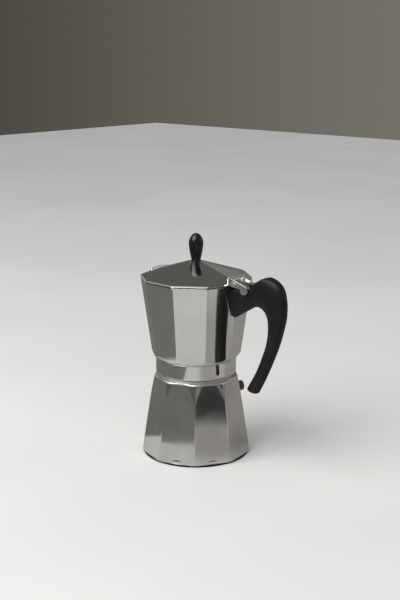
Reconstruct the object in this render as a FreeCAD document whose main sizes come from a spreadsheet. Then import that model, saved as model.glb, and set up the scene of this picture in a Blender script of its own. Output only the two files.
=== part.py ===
import FreeCAD, Part
import math
import os
from types import SimpleNamespace

import Sketcher

# A stovetop coffee maker in millimetres. Z is up, the base stands on Z = 0, the handle is at +X and the
# pouring beak at -X. Every dimension below is one row of the sheet and drives the shapes by expression.
DIMENSIONS = {
    # boiler outline
    "foot_radius": 50.4,
    "base_radius": 52.2,
    "foot_rise": 1.8,
    "skirt_top": 3.4,
    "wall_bulge": 600.0,
    "shoulder_radius": 41.8,
    "shoulder_start": 69.5,
    "shoulder_bulge": 22.0,
    "brow_radius": 39.5,
    "brow_height": 78.4,
    "deck_radius": 37.8,
    "deck_height": 79.0,
    "ring_radius": 36.6,
    "ring_height": 80.6,
    "neck_radius": 34.0,
    "neck_top": 90.0,
    "neck_bore": 31.2,
    "neck_bottom": 77.0,
    "inner_shoulder_radius": 39.8,
    "inner_shoulder_height": 62.0,
    "inner_base_radius": 46.4,
    "inner_base_height": 10.0,
    "floor_radius": 43.0,
    "floor_height": 3.6,
    # boiler facets
    "facet_apothem": 50.5,
    "facet_slope": 0.145,
    "facet_bottom": 3.8,
    "facet_ledge_drop": 4.5,
    "facet_turn": 10.8,
    "facet_count": 9,
    # thread between boiler and upper pot
    "pitch": 3.0,
    "thread_start": 82.4,
    "thread_length": 6.0,
    "thread_height": 1.4,
    "thread_root_width": 1.6,
    "thread_crest_width": 0.7,
    "thread_overlap": 0.3,
    # safety valve, along its own axis from the facet outward
    "valve_height": 63.4,
    "valve_hole": 4.05,
    "valve_shank": 3.95,
    "valve_hex": 9.0,
    "valve_inner_end": -7.0,
    "valve_hex_top": 5.2,
    "valve_nose_top": 6.0,
    "valve_nose_radius": 3.4,
    "valve_bore": 2.5,
    "valve_bore_top": 2.4,
    "valve_outlet": 1.1,
    "washer_radius": 5.2,
    "washer_height": 0.8,
    "seat_height": 2.0,
    "seat_bore": 1.2,
    "seal_height": 0.6,
    "seal_radius": 2.1,
    "plunger_radius": 2.2,
    "plunger_height": 1.2,
    "plunger_stem": 0.8,
    "plunger_out": 0.5,
    "spring_radius": 1.6,
    "spring_wire": 0.25,
    "spring_pitch": 1.1,
    # funnel and seal stack
    "rim_top": 91.4,
    "rim_bottom": 90.2,
    "rim_radius": 33.9,
    "basket_radius": 30.6,
    "basket_inner": 29.8,
    "basket_bottom": 61.2,
    "ledge_height": 62.0,
    "ledge_radius": 28.4,
    "stem_radius": 5.0,
    "stem_bore": 4.2,
    "stem_top": 50.0,
    "stem_bottom": 8.0,
    "stem_flare": 0.5,
    "disc_radius": 29.6,
    "disc_height": 0.8,
    "hole_radius": 0.9,
    "hole_spacing": 6.2,
    "stack_gap": 0.05,
    "gasket_outer": 34.2,
    "gasket_inner": 27.5,
    "gasket_top": 94.6,
    "plate_radius": 31.0,
    "plate_top": 95.6,
    # upper pot
    "pot_bottom": 97.2,
    "pot_rim": 174.6,
    "pot_bottom_corner": 43.2,
    "pot_rim_corner": 54.3,
    "pot_wall": 2.8,
    "pot_floor": 100.6,
    "chamfer_radius": 39.6,
    "chamfer_rise": 6.4,
    "collar_radius": 39.2,
    "collar_bottom": 81.6,
    "collar_top": 96.4,
    "collar_edge": 0.8,
    "groove_radius": 38.6,
    "collar_bore": 36.0,
    "bore_top": 91.2,
    "seal_bore": 34.9,
    "seal_ceiling": 94.9,
    "plate_bore": 31.4,
    "plate_ceiling": 95.9,
    "dome_radius": 27.0,
    "dome_top": 102.9,
    "column_hole": 6.0,
    "boss_foot_radius": 24.0,
    "boss_radius": 9.0,
    "boss_top": 107.0,
    "flat_distance": 49.0,
    "flat_bottom": 130.0,
    "beak_bottom": 134.0,
    "beak_tip": 60.0,
    "beak_root": 48.0,
    "beak_half_width": 13.0,
    "beak_wall": 3.9,
    "beak_side_wall": 2.0,
    "beak_hollow_bottom": 140.0,
    "lug_end": 61.0,
    "lug_half_width": 3.2,
    "lug_bottom": 155.0,
    "lug_top": 168.0,
    "lug_fit": 0.2,
    # riser column
    "spigot_radius": 5.95,
    "spigot_bottom": 103.6,
    "flange_radius": 8.5,
    "flange_height": 2.0,
    "column_radius": 6.3,
    "column_tip_radius": 5.2,
    "column_tip": 157.0,
    "column_top": 160.0,
    "column_bore": 3.6,
    "outlet_height": 150.0,
    "outlet_radius": 2.3,
    # lid
    "lid_gap": 0.7,
    "lid_corner": 54.5,
    "lid_edge": 0.6,
    "lid_bevel_width": 1.2,
    "lid_bevel_rise": 0.9,
    "lid_rim_width": 2.8,
    "lip_inner": 49.0,
    "lip_outer": 50.3,
    "lip_half_width": 12.4,
    "lip_top": 178.4,
    "lid_top": 191.6,
    "lid_top_radius": 5.2,
    "lid_wall": 1.9,
    "lid_hinge_cut": 50.3,
    "lid_beak_cut": 50.4,
    "tab_inner": 49.3,
    "tab_outer": 51.3,
    "tab_half_width": 10.0,
    "tab_bottom": 174.4,
    "tab_top": 183.8,
    "knob_hole": 2.1,
    # knob
    "knob_waist": 4.25,
    "knob_radius": 6.65,
    "knob_belly": 206.8,
    "knob_crown_radius": 4.4,
    "knob_crown": 215.3,
    "knob_top": 218.0,
    "knob_flank": 90.0,
    "knob_belly_arc": 11.4,
    "knob_screw_hole": 1.95,
    "screw_tip": 202.0,
    "screw_radius": 1.85,
    "screw_head_radius": 3.6,
    "screw_head_height": 2.0,
    "screw_head_side": 0.8,
    "screw_face_radius": 2.5,
    "screw_slot_half": 0.4,
    "knob_washer_radius": 4.5,
    "knob_washer_height": 0.9,
    # hinge
    "hinge_out": 66.5,
    "hinge_height": 173.0,
    "knuckle_radius": 4.4,
    "knuckle_bottom": 173.5,
    "leaf_half_width": 8.2,
    "leaf_top": 182.0,
    "leaf_root_height": 174.4,
    "slot_half_width": 3.6,
    "slot_start": 58.0,
    "pin_radius": 1.5,
    "pin_fit": 0.05,
    "rivet_radius": 1.2,
    "rivet_head": 2.0,
    "rivet_head_height": 0.9,
    "rivet_height": 180.2,
    "rivet_side": 5.6,
    "rivet_depth": 4.0,
    # handle
    "handle_half_width": 7.4,
    "handle_face": 49.1,
    "handle_shelf": 172.6,
    "handle_heel": 145.4,
    "notch_radius": 5.0,
    "tongue_half_width": 3.2,
    "handle_screw_out": 56.5,
    "handle_web": 151.0,
    "handle_screw_radius": 1.5,
    "handle_screw_head": 2.8,
    "handle_screw_head_height": 1.8,
    "handle_screw_tip": 165.0,
    "heel_out": 51.2,
    "heel_height": 144.0,
    "block_out": 74.5,
    "block_under": 157.0,
    "tip_round": 2.4,
    "tip_out": 72.7,
    "tip_height": 77.4,
    "tip_lean": 12.0,
    "tip_thick": 6.2,
    "tip_wide": 5.4,
    "toe_out": 81.0,
    "toe_height": 92.2,
    "toe_lean": 27.0,
    "toe_thick": 5.35,
    "toe_wide": 5.3,
    "low_out": 89.1,
    "low_height": 109.4,
    "low_lean": 23.0,
    "low_thick": 5.6,
    "low_wide": 5.55,
    "middle_out": 95.4,
    "middle_height": 125.9,
    "middle_lean": 18.0,
    "middle_thick": 6.15,
    "middle_wide": 6.1,
    "wrist_out": 98.9,
    "wrist_height": 140.0,
    "wrist_lean": 9.0,
    "wrist_thick": 7.0,
    "wrist_wide": 6.6,
    "bend_out": 99.7,
    "bend_height": 152.0,
    "bend_lean": -14.0,
    "bend_thick": 10.0,
    "bend_wide": 7.0,
    "jaw_out": 98.6,
    "jaw_height": 159.0,
    "jaw_lean": -31.0,
    "jaw_thick": 12.9,
    "jaw_wide": 7.2,
    "cheek_out": 95.8,
    "cheek_height": 165.2,
    "cheek_lean": -50.0,
    "cheek_thick": 15.3,
    "cheek_wide": 7.3,
    "crown_out": 84.5,
    "crown_height": 171.6,
    "crown_lean": -72.0,
    "crown_thick": 15.6,
    "crown_wide": 7.4,
    "temple_out": 74.2,
    "temple_height": 168.4,
    "temple_lean": -81.7,
    "temple_thick": 12.1,
    "temple_wide": 7.4,
}

doc = FreeCAD.newDocument("coffee_maker")
sheet = doc.addObject("Spreadsheet::Sheet", "Dimensions")
for row, (alias, number) in enumerate(DIMENSIONS.items(), start=1):
    sheet.set(f"A{row}", alias)
    sheet.set(f"B{row}", str(number))
    sheet.setAlias(f"B{row}", alias)
doc.recompute()


class Size:
    """A number together with the expression that works it out from the sheet."""

    def __init__(self, value, words):
        self.value = value
        self.words = words

    def __add__(self, other):
        return Size(self.value + value_of(other), f"({self.words} + {words_of(other)})")

    def __radd__(self, other):
        return Size(value_of(other) + self.value, f"({words_of(other)} + {self.words})")

    def __sub__(self, other):
        return Size(self.value - value_of(other), f"({self.words} - {words_of(other)})")

    def __rsub__(self, other):
        return Size(value_of(other) - self.value, f"({words_of(other)} - {self.words})")

    def __mul__(self, other):
        return Size(self.value * value_of(other), f"({self.words} * {words_of(other)})")

    __rmul__ = __mul__

    def __truediv__(self, other):
        return Size(self.value / value_of(other), f"({self.words} / {words_of(other)})")

    def __neg__(self):
        return self * -1.0


def value_of(size):
    return size.value if isinstance(size, Size) else float(size)


def words_of(size):
    return size.words if isinstance(size, Size) else f"({float(size):.6f})"


sizes = {name: Size(float(number), f"Dimensions.{name}") for name, number in DIMENSIONS.items()}
d = SimpleNamespace(**sizes)


def bind(thing, prop, size):
    """Set a property and tie it to the sheet."""
    thing.setExpression(prop, words_of(size))


def new_body(label):
    body = doc.addObject("PartDesign::Body", label)
    body.Label = label
    return body


def origin_plane(body, role):
    return [feature for feature in body.Origin.OriginFeatures if feature.Role == role][0]


def new_sketch(body, role, height=0):
    """A sketch on one of the body's own planes, lifted along that plane's normal."""
    sketch = body.newObject("Sketcher::SketchObject", "Outline")
    sketch.AttachmentSupport = (origin_plane(body, role), "")
    sketch.MapMode = "FlatFace"
    bind(sketch, "AttachmentOffset.Base.z", height)
    return sketch


def vector(corner):
    return FreeCAD.Vector(value_of(corner[0]), value_of(corner[1]), 0)


def arc_through(start, end, radius):
    """The shorter arc between two points. A radius above zero turns left on the way, below zero right."""
    chord = end - start
    left = FreeCAD.Vector(-chord.y, chord.x, 0).normalize()
    reach = math.sqrt(radius * radius - chord.Length * chord.Length / 4)
    centre = (start + end) / 2 + left * math.copysign(reach, radius)
    first, last = (start, end) if radius > 0 else (end, start)
    turn = [math.atan2(point.y - centre.y, point.x - centre.x) for point in (first, last)]
    return Part.ArcOfCircle(Part.Circle(centre, FreeCAD.Vector(0, 0, 1), abs(radius)), turn[0], turn[1])


def edge_between(corner, after):
    """Straight edge or arc from one corner of an outline to the next."""
    start = vector(corner)
    end = vector(after)
    if len(corner) == 2:
        return Part.LineSegment(start, end)
    return arc_through(start, end, value_of(corner[2]))


def draw_outline(sketch, corners):
    """Closed outline of corners (across, up). A third entry is the radius of an arc to the next corner."""
    first_edge = sketch.GeometryCount
    ends = []
    for index, corner in enumerate(corners):
        sketch.addGeometry(edge_between(corner, corners[(index + 1) % len(corners)]), False)
        is_right_turn = len(corner) > 2 and value_of(corner[2]) < 0
        ends.append((2, 1) if is_right_turn else (1, 2))
    for index, corner in enumerate(corners):
        edge = first_edge + index
        after = (index + 1) % len(corners)
        joint = (edge, ends[index][1], first_edge + after, ends[after][0])
        sketch.addConstraint(Sketcher.Constraint("Coincident", *joint))
        for kind, size in (("DistanceX", corner[0]), ("DistanceY", corner[1])):
            rule = Sketcher.Constraint(kind, -1, 1, edge, ends[index][0], value_of(size))
            fix(sketch, rule, size)
        if len(corner) > 2:
            length = corner[2] if value_of(corner[2]) > 0 else -corner[2]
            fix(sketch, Sketcher.Constraint("Radius", edge, value_of(length)), length)
    return sketch


def draw_circle(sketch, across, up, radius):
    circle = Part.Circle(vector((across, up)), FreeCAD.Vector(0, 0, 1), value_of(radius))
    edge = sketch.addGeometry(circle, False)
    fix(sketch, Sketcher.Constraint("DistanceX", -1, 1, edge, 3, value_of(across)), across)
    fix(sketch, Sketcher.Constraint("DistanceY", -1, 1, edge, 3, value_of(up)), up)
    fix(sketch, Sketcher.Constraint("Radius", edge, value_of(radius)), radius)
    return sketch


def fix(sketch, rule, size):
    """Add a measured constraint and, where its size comes from the sheet, tie it there."""
    index = sketch.addConstraint(rule)
    if isinstance(size, Size):
        bind(sketch, f"Constraints[{index}]", size)


def turned(body, corners, kind="Revolution"):
    """Revolution, or groove, of an outline in the plane of X and Z about the body's Z axis."""
    sketch = draw_outline(new_sketch(body, "XZ_Plane"), corners)
    feature = body.newObject(f"PartDesign::{kind}", kind)
    feature.Profile = sketch
    feature.ReferenceAxis = (sketch, ["V_Axis"])
    feature.Angle = 360
    doc.recompute()
    return feature


def extruded(body, sketch, length, kind="Pad", both_ways=False, downward=False):
    feature = body.newObject(f"PartDesign::{kind}", kind)
    feature.Profile = sketch
    bind(feature, "Length", length)
    feature.SideType = "Symmetric" if both_ways else "One side"
    feature.Reversed = downward
    doc.recompute()
    return feature


def lofted(body, lower, upper, kind="AdditiveLoft"):
    feature = body.newObject(f"PartDesign::{kind}", kind)
    feature.Profile = lower
    feature.Sections = [upper]
    feature.Ruled = True
    doc.recompute()
    return feature


def wound(body, corners, pitch, length):
    """A right-hand ridge of the given section wound up about the body's Z axis."""
    sketch = draw_outline(new_sketch(body, "XZ_Plane"), corners)
    feature = body.newObject("PartDesign::AdditiveHelix", "Thread")
    feature.Profile = sketch
    feature.ReferenceAxis = (sketch, ["V_Axis"])
    feature.Mode = "pitch-height-angle"
    bind(feature, "Pitch", pitch)
    bind(feature, "Height", length)
    doc.recompute()
    return feature


def ridge(root, crest, centre):
    """Section of a thread ridge from its root radius, sunk a little, to its crest radius."""
    sunk = -1 if value_of(crest) > value_of(root) else 1
    foot = root + d.thread_overlap * sunk
    half_root = d.thread_root_width / 2
    half_crest = d.thread_crest_width / 2
    return [(foot, centre - half_root), (crest, centre - half_crest),
            (crest, centre + half_crest), (foot, centre + half_root)]


def ten_corners(radius):
    """Corners of a regular ten-sided outline with one corner at +X."""
    turns = [math.radians(36 * k) for k in range(10)]
    return [(radius * math.cos(turn), radius * math.sin(turn)) for turn in turns]


def cut_from(label, base, tool):
    cut = doc.addObject("Part::Cut", label)
    cut.Base = base
    cut.Tool = tool
    cut.Label = label
    doc.recompute()
    return cut


def dome_radius(radius, height):
    """Radius of the ball whose cap has this edge radius and height, with its centre on the axis."""
    return (radius * radius + height * height) / (height * 2)


def cylinder(label, radius, height):
    solid = doc.addObject("Part::Cylinder", label)
    bind(solid, "Radius", radius)
    bind(solid, "Height", height)
    return solid


# Boiler: a turned vessel with flat facets milled into a slightly bulged wall, and a threaded neck.
boiler_body = new_body("boiler_casting")
turned(boiler_body, [
    (0, 0),
    (d.foot_radius, 0),
    (d.base_radius, d.foot_rise),
    (d.base_radius, d.skirt_top, d.wall_bulge),
    (d.shoulder_radius, d.shoulder_start, d.shoulder_bulge),
    (d.brow_radius, d.brow_height),
    (d.deck_radius, d.deck_height),
    (d.ring_radius, d.deck_height),
    (d.ring_radius, d.ring_height),
    (d.neck_radius, d.ring_height),
    (d.neck_radius, d.neck_top),
    (d.neck_bore, d.neck_top),
    (d.neck_bore, d.neck_bottom),
    (d.inner_shoulder_radius, d.inner_shoulder_height),
    (d.inner_base_radius, d.inner_base_height),
    (d.floor_radius, d.floor_height),
    (0, d.floor_height),
])
FACET_REACH = 60
FACET_TOP = 88
facet_sketch = draw_outline(new_sketch(boiler_body, "XZ_Plane"), [
    (d.facet_apothem - d.facet_slope * d.facet_bottom, d.facet_bottom),
    (FACET_REACH, d.facet_bottom - d.facet_ledge_drop),
    (FACET_REACH, FACET_TOP),
    (d.facet_apothem - d.facet_slope * FACET_TOP, FACET_TOP),
])
facet = extruded(boiler_body, facet_sketch, FACET_REACH, "Pocket", both_ways=True)
facets = boiler_body.newObject("PartDesign::PolarPattern", "Facets")
facets.Originals = [facet]
facets.Axis = (origin_plane(boiler_body, "Z_Axis"), [""])
facets.Angle = 360
bind(facets, "Occurrences", d.facet_count)
boiler_body.Tip = facets
doc.recompute()
wound(boiler_body, ridge(d.neck_radius, d.neck_radius + d.thread_height, d.thread_start),
      d.pitch, d.thread_length)
bind(boiler_body, "Placement.Rotation.Angle", d.facet_turn)
boiler_body.Placement.Rotation.Axis = FreeCAD.Vector(0, 0, 1)

# The valve stands square on the middle of one facet, so its axis leans up as the facet leans in.
valve_turn = DIMENSIONS["facet_turn"] + 360 / DIMENSIONS["facet_count"]
valve_foot_radius = value_of(d.facet_apothem - d.facet_slope * d.valve_height)
valve_foot = FreeCAD.Rotation(FreeCAD.Vector(0, 0, 1), valve_turn).multVec(
    FreeCAD.Vector(valve_foot_radius, 0, value_of(d.valve_height)))
valve_axis = FreeCAD.Rotation(FreeCAD.Vector(0, 0, 1), valve_turn).multVec(
    FreeCAD.Vector(1, 0, DIMENSIONS["facet_slope"]).normalize())
valve_place = FreeCAD.Placement(valve_foot, FreeCAD.Rotation(FreeCAD.Vector(0, 0, 1), valve_axis))

HOLE_REACH = 20
valve_hole = cylinder("valve_hole", d.valve_hole, HOLE_REACH)
valve_hole.Placement = valve_place.multiply(
    FreeCAD.Placement(FreeCAD.Vector(0, 0, -HOLE_REACH / 2), FreeCAD.Rotation()))
boiler = cut_from("boiler", boiler_body, valve_hole)

# Safety valve: hexagonal housing, washer, seat ring, plunger with a soft seal, and its spring.
valve_body = new_body("valve_body")
turned(valve_body, [
    (d.valve_bore, d.valve_inner_end),
    (d.valve_shank, d.valve_inner_end),
    (d.valve_shank, d.washer_height),
    (d.valve_nose_radius, d.washer_height + d.valve_nose_top - d.valve_hex_top),
    (d.valve_nose_radius, d.valve_nose_top),
    (d.valve_outlet, d.valve_nose_top),
    (d.valve_outlet, d.valve_bore_top),
    (d.valve_bore, d.valve_bore_top),
])
hex_corner = d.valve_hex / (2 * math.cos(math.radians(30)))
hex_turns = [math.radians(60 * k) for k in range(6)]
hex_sketch = draw_outline(new_sketch(valve_body, "XY_Plane", d.washer_height),
                          [(hex_corner * math.cos(turn), hex_corner * math.sin(turn)) for turn in hex_turns])
draw_circle(hex_sketch, 0, 0, d.valve_nose_radius - d.stack_gap)
extruded(valve_body, hex_sketch, d.valve_hex_top - d.washer_height)
valve_body.Placement = valve_place

valve_washer = new_body("valve_washer")
turned(valve_washer, [
    (d.valve_hole, d.stack_gap),
    (d.washer_radius, d.stack_gap),
    (d.washer_radius, d.washer_height - d.stack_gap),
    (d.valve_hole, d.washer_height - d.stack_gap),
])
valve_washer.Placement = valve_place

seat_top = d.valve_inner_end + d.seat_height
valve_seat = new_body("valve_seat")
turned(valve_seat, [
    (d.seat_bore, d.valve_inner_end),
    (d.valve_bore - d.stack_gap / 2, d.valve_inner_end),
    (d.valve_bore - d.stack_gap / 2, seat_top),
    (d.seat_bore, seat_top),
])
valve_seat.Placement = valve_place

seal_bottom = seat_top + d.stack_gap
seal_top = seal_bottom + d.seal_height
valve_seal = new_body("valve_seal")
turned(valve_seal, [
    (d.plunger_stem + d.stack_gap, seal_bottom),
    (d.seal_radius, seal_bottom),
    (d.seal_radius, seal_top),
    (d.plunger_stem + d.stack_gap, seal_top),
])
valve_seal.Placement = valve_place

plunger_bottom = seal_top + d.stack_gap
plunger_top = plunger_bottom + d.plunger_height
valve_pin = new_body("valve_pin")
turned(valve_pin, [
    (0, seal_bottom),
    (d.plunger_stem, seal_bottom),
    (d.plunger_stem, plunger_bottom),
    (d.plunger_radius, plunger_bottom),
    (d.plunger_radius, plunger_top),
    (d.plunger_stem, plunger_top),
    (d.plunger_stem, d.valve_nose_top + d.plunger_out),
    (0, d.valve_nose_top + d.plunger_out),
])
valve_pin.Placement = valve_place

spring_bottom = plunger_top + d.spring_wire + d.stack_gap
spring_top = d.valve_bore_top - d.spring_wire - d.stack_gap
valve_spring = new_body("valve_spring")
coil_sketch = draw_circle(new_sketch(valve_spring, "XZ_Plane"), d.spring_radius, spring_bottom, d.spring_wire)
coil = valve_spring.newObject("PartDesign::AdditiveHelix", "Coil")
coil.Profile = coil_sketch
coil.ReferenceAxis = (coil_sketch, ["V_Axis"])
coil.Mode = "pitch-height-angle"
bind(coil, "Pitch", d.spring_pitch)
bind(coil, "Height", spring_top - spring_bottom)
doc.recompute()
valve_spring.Placement = valve_place

# Coffee basket with its water stem, and the flat pieces stacked on its rim.
funnel = new_body("funnel")
turned(funnel, [
    (d.basket_inner, d.rim_top),
    (d.rim_radius, d.rim_top),
    (d.rim_radius, d.rim_bottom),
    (d.basket_radius, d.rim_bottom),
    (d.basket_radius, d.basket_bottom),
    (d.stem_radius, d.stem_top),
    (d.stem_radius, d.stem_bottom),
    (d.stem_bore, d.stem_bottom),
    (d.stem_bore, d.stem_top + d.stem_flare),
    (d.ledge_radius, d.ledge_height),
    (d.basket_inner, d.ledge_height),
])


def perforated(label, radius, bottom, height, rings):
    """A round plate with a hole at its centre and six more holes in each ring than in the one before."""
    body = new_body(label)
    plate = draw_circle(new_sketch(body, "XY_Plane", bottom), 0, 0, radius)
    extruded(body, plate, height)
    holes = new_sketch(body, "XY_Plane", bottom)
    draw_circle(holes, 0, 0, d.hole_radius)
    for ring in range(1, rings + 1):
        for step in range(6 * ring):
            turn = math.radians(60 * step / ring)
            out = d.hole_spacing * ring
            draw_circle(holes, out * math.cos(turn), out * math.sin(turn), d.hole_radius)
    extruded(body, holes, height * 2, "Pocket", both_ways=True)
    return body


HOLE_RINGS = 4
disc_bottom = d.ledge_height + d.stack_gap
funnel_disc = perforated("funnel_disc", d.disc_radius, disc_bottom, d.disc_height, HOLE_RINGS)

gasket = new_body("gasket")
turned(gasket, [
    (d.gasket_inner, d.rim_top + d.stack_gap),
    (d.gasket_outer, d.rim_top + d.stack_gap),
    (d.gasket_outer, d.gasket_top),
    (d.gasket_inner, d.gasket_top),
])

plate_bottom = d.gasket_top + d.stack_gap
plate_thickness = d.plate_top - plate_bottom
filter_plate = perforated("filter_plate", d.plate_radius, plate_bottom, plate_thickness, HOLE_RINGS)

# Upper pot: a ten-sided tapered vessel on a threaded collar. The corner at the handle is planed flat and
# the opposite corner is drawn out into the pouring beak.
rise = (d.pot_rim_corner - d.pot_bottom_corner) / (d.pot_rim - d.pot_bottom)


def pot_corner(height):
    return d.pot_bottom_corner + rise * (height - d.pot_bottom)


casting = new_body("collector_casting")
pot_low = draw_outline(new_sketch(casting, "XY_Plane", d.pot_bottom), ten_corners(d.pot_bottom_corner))
pot_high = draw_outline(new_sketch(casting, "XY_Plane", d.pot_rim), ten_corners(d.pot_rim_corner))
lofted(casting, pot_low, pot_high)
turned(casting, [
    (d.chamfer_radius, d.pot_bottom),
    (d.chamfer_radius + d.chamfer_rise, d.pot_bottom),
    (d.chamfer_radius + d.chamfer_rise, d.pot_bottom + d.chamfer_rise),
], "Groove")
turned(casting, [
    (0, d.collar_bottom),
    (d.collar_radius - d.collar_edge, d.collar_bottom),
    (d.collar_radius, d.collar_bottom + d.collar_edge),
    (d.collar_radius, d.collar_top),
    (d.groove_radius, d.collar_top),
    (d.groove_radius, d.pot_bottom),
    (0, d.pot_bottom),
])
beak_low = draw_outline(new_sketch(casting, "XY_Plane", d.beak_bottom), [
    (-pot_corner(d.beak_bottom), 0),
    (-pot_corner(d.beak_bottom) + d.beak_wall, -d.pot_wall),
    (-pot_corner(d.beak_bottom) + d.beak_wall, d.pot_wall),
])
beak_high = draw_outline(new_sketch(casting, "XY_Plane", d.pot_rim), [
    (-d.beak_tip, 0),
    (-d.beak_root, -d.beak_half_width),
    (-d.beak_root, d.beak_half_width),
])
lofted(casting, beak_low, beak_high)
turned(casting, [
    (0, d.collar_bottom),
    (d.collar_bore, d.collar_bottom),
    (d.collar_bore, d.bore_top),
    (d.seal_bore, d.bore_top),
    (d.seal_bore, d.seal_ceiling),
    (d.plate_bore, d.seal_ceiling),
    (d.plate_bore, d.plate_ceiling),
    (d.dome_radius, d.plate_ceiling),
    (d.column_hole, d.dome_top),
    (d.column_hole, d.boss_top + d.flange_height),
    (0, d.boss_top + d.flange_height),
], "Groove")
FLAT_REACH = 80
flat_sketch = draw_outline(new_sketch(casting, "XZ_Plane"), [
    (d.flat_distance, d.flat_bottom),
    (FLAT_REACH, d.flat_bottom),
    (FLAT_REACH, d.pot_rim + d.pot_wall),
    (d.flat_distance, d.pot_rim + d.pot_wall),
])
extruded(casting, flat_sketch, FLAT_REACH, "Pocket", both_ways=True)
lug_sketch = draw_outline(new_sketch(casting, "XZ_Plane"), [
    (d.flat_distance - d.pot_wall / 2, d.lug_bottom),
    (d.lug_end, d.lug_bottom),
    (d.lug_end, d.lug_top),
    (d.flat_distance - d.pot_wall / 2, d.lug_top),
])
extruded(casting, lug_sketch, d.lug_half_width * 2, both_ways=True)
lug_hole = draw_circle(new_sketch(casting, "XY_Plane", d.lug_bottom), d.handle_screw_out, 0,
                       d.handle_screw_radius + d.pin_fit)
extruded(casting, lug_hole, d.handle_screw_tip + d.lug_fit - d.lug_bottom, "Pocket", downward=True)
pot_thread_start = d.thread_start + d.pitch / 2 - d.pitch * d.facet_turn / 360
wound(casting, ridge(d.collar_bore, d.collar_bore - d.thread_height, pot_thread_start),
      d.pitch, d.thread_length)

# The hollow of the upper pot, with a raised boss in its floor for the column.
ABOVE_RIM = 2
hollow = new_body("collector_hollow")
wall_at_corner = d.pot_wall / math.cos(math.radians(18))
hollow_low = draw_outline(new_sketch(hollow, "XY_Plane", d.pot_floor),
                          ten_corners(pot_corner(d.pot_floor) - wall_at_corner))
hollow_high = draw_outline(new_sketch(hollow, "XY_Plane", d.pot_rim + ABOVE_RIM),
                           ten_corners(pot_corner(d.pot_rim + ABOVE_RIM) - wall_at_corner))
lofted(hollow, hollow_low, hollow_high)
beak_hollow_low = draw_outline(new_sketch(hollow, "XY_Plane", d.beak_hollow_bottom), [
    (-pot_corner(d.beak_hollow_bottom) + wall_at_corner, 0),
    (-pot_corner(d.beak_hollow_bottom) + wall_at_corner + d.beak_wall, -d.pot_wall),
    (-pot_corner(d.beak_hollow_bottom) + wall_at_corner + d.beak_wall, d.pot_wall),
])
beak_hollow_high = draw_outline(new_sketch(hollow, "XY_Plane", d.pot_rim + ABOVE_RIM), [
    (-d.beak_tip + d.beak_wall, 0),
    (-d.beak_root + d.beak_wall, -d.beak_half_width + d.beak_side_wall),
    (-d.beak_root + d.beak_wall, d.beak_half_width - d.beak_side_wall),
])
lofted(hollow, beak_hollow_low, beak_hollow_high)
turned(hollow, [
    (0, d.pot_floor),
    (d.boss_foot_radius, d.pot_floor),
    (d.boss_radius, d.boss_top),
    (0, d.boss_top),
], "Groove")
hollow_flat = draw_outline(new_sketch(hollow, "XZ_Plane"), [
    (d.flat_distance - d.pot_wall, d.flat_bottom),
    (FLAT_REACH, d.flat_bottom),
    (FLAT_REACH, d.pot_rim + ABOVE_RIM * 2),
    (d.flat_distance - d.pot_wall, d.pot_rim + ABOVE_RIM * 2),
])
extruded(hollow, hollow_flat, FLAT_REACH, "Pocket", both_ways=True)
collector = cut_from("collector", casting, hollow)

# Riser column: a tapered tube, closed at the top, with a cross bore as its two outlets.
column = new_body("column")
turned(column, [
    (d.column_bore, d.spigot_bottom),
    (d.spigot_radius, d.spigot_bottom),
    (d.spigot_radius, d.boss_top + d.stack_gap),
    (d.flange_radius, d.boss_top + d.stack_gap),
    (d.flange_radius, d.boss_top + d.flange_height),
    (d.column_radius, d.boss_top + d.flange_height),
    (d.column_tip_radius, d.column_tip, dome_radius(d.column_tip_radius, d.column_top - d.column_tip)),
    (0, d.column_top),
    (0, d.column_tip - d.flange_height),
    (d.column_bore, d.column_tip - d.flange_height),
])
outlet = draw_circle(new_sketch(column, "XZ_Plane"), 0, d.outlet_height, d.outlet_radius)
extruded(column, outlet, d.column_radius * 4, "Pocket", both_ways=True)

# Lid: a shallow ten-sided cap, cut straight at the beak and at the hinge, with an upturned tab.
lid_bottom = d.pot_rim + d.lid_gap


def lid_ring(height, radius):
    """The lid's ten-sided outline at one height."""
    return draw_outline(new_sketch(lid, "XY_Plane", height), ten_corners(radius))


def hollow_ring(height, inset, shrink):
    """Outline of the hollow: set in from the lid's edge, the corners at +X and -X cut off square."""
    radius = (d.lid_corner - inset) * shrink
    hinge_cut = (d.lid_hinge_cut - inset) * shrink
    beak_cut = (d.lid_beak_cut - inset) * shrink
    corners = ten_corners(radius)
    slope = math.tan(math.radians(18))
    hinge_half = (radius - hinge_cut) / slope
    beak_half = (radius - beak_cut) / slope
    outline = [(hinge_cut, hinge_half), *corners[1:5], (-beak_cut, beak_half),
               (-beak_cut, -beak_half), *corners[6:], (hinge_cut, -hinge_half)]
    return draw_outline(new_sketch(lid, "XY_Plane", height), outline)


bevel_bottom = lid_bottom + d.lid_edge
bevel_top = bevel_bottom + d.lid_bevel_rise
lid = new_body("lid")
bevel_corner = d.lid_corner - d.lid_bevel_width
extruded(lid, lid_ring(lid_bottom, d.lid_corner), d.lid_edge)
lofted(lid, lid_ring(bevel_bottom, d.lid_corner), lid_ring(bevel_top, bevel_corner))
lofted(lid, lid_ring(bevel_top, bevel_corner), lid_ring(d.lid_top, d.lid_top_radius))
end_cuts = new_sketch(lid, "XZ_Plane")
for side, distance in ((1, d.lid_hinge_cut), (-1, d.lid_beak_cut)):
    draw_outline(end_cuts, [
        (distance * side, d.pot_rim),
        (FLAT_REACH * side, d.pot_rim),
        (FLAT_REACH * side, d.lid_top),
        (distance * side, d.lid_top),
    ])
extruded(lid, end_cuts, FLAT_REACH, "Pocket", both_ways=True)
peak_shrink = d.lid_top_radius / d.lid_corner
lofted(lid, hollow_ring(lid_bottom, d.lid_rim_width, 1), hollow_ring(d.lid_top - d.lid_wall, 0, peak_shrink),
       "SubtractiveLoft")
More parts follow.
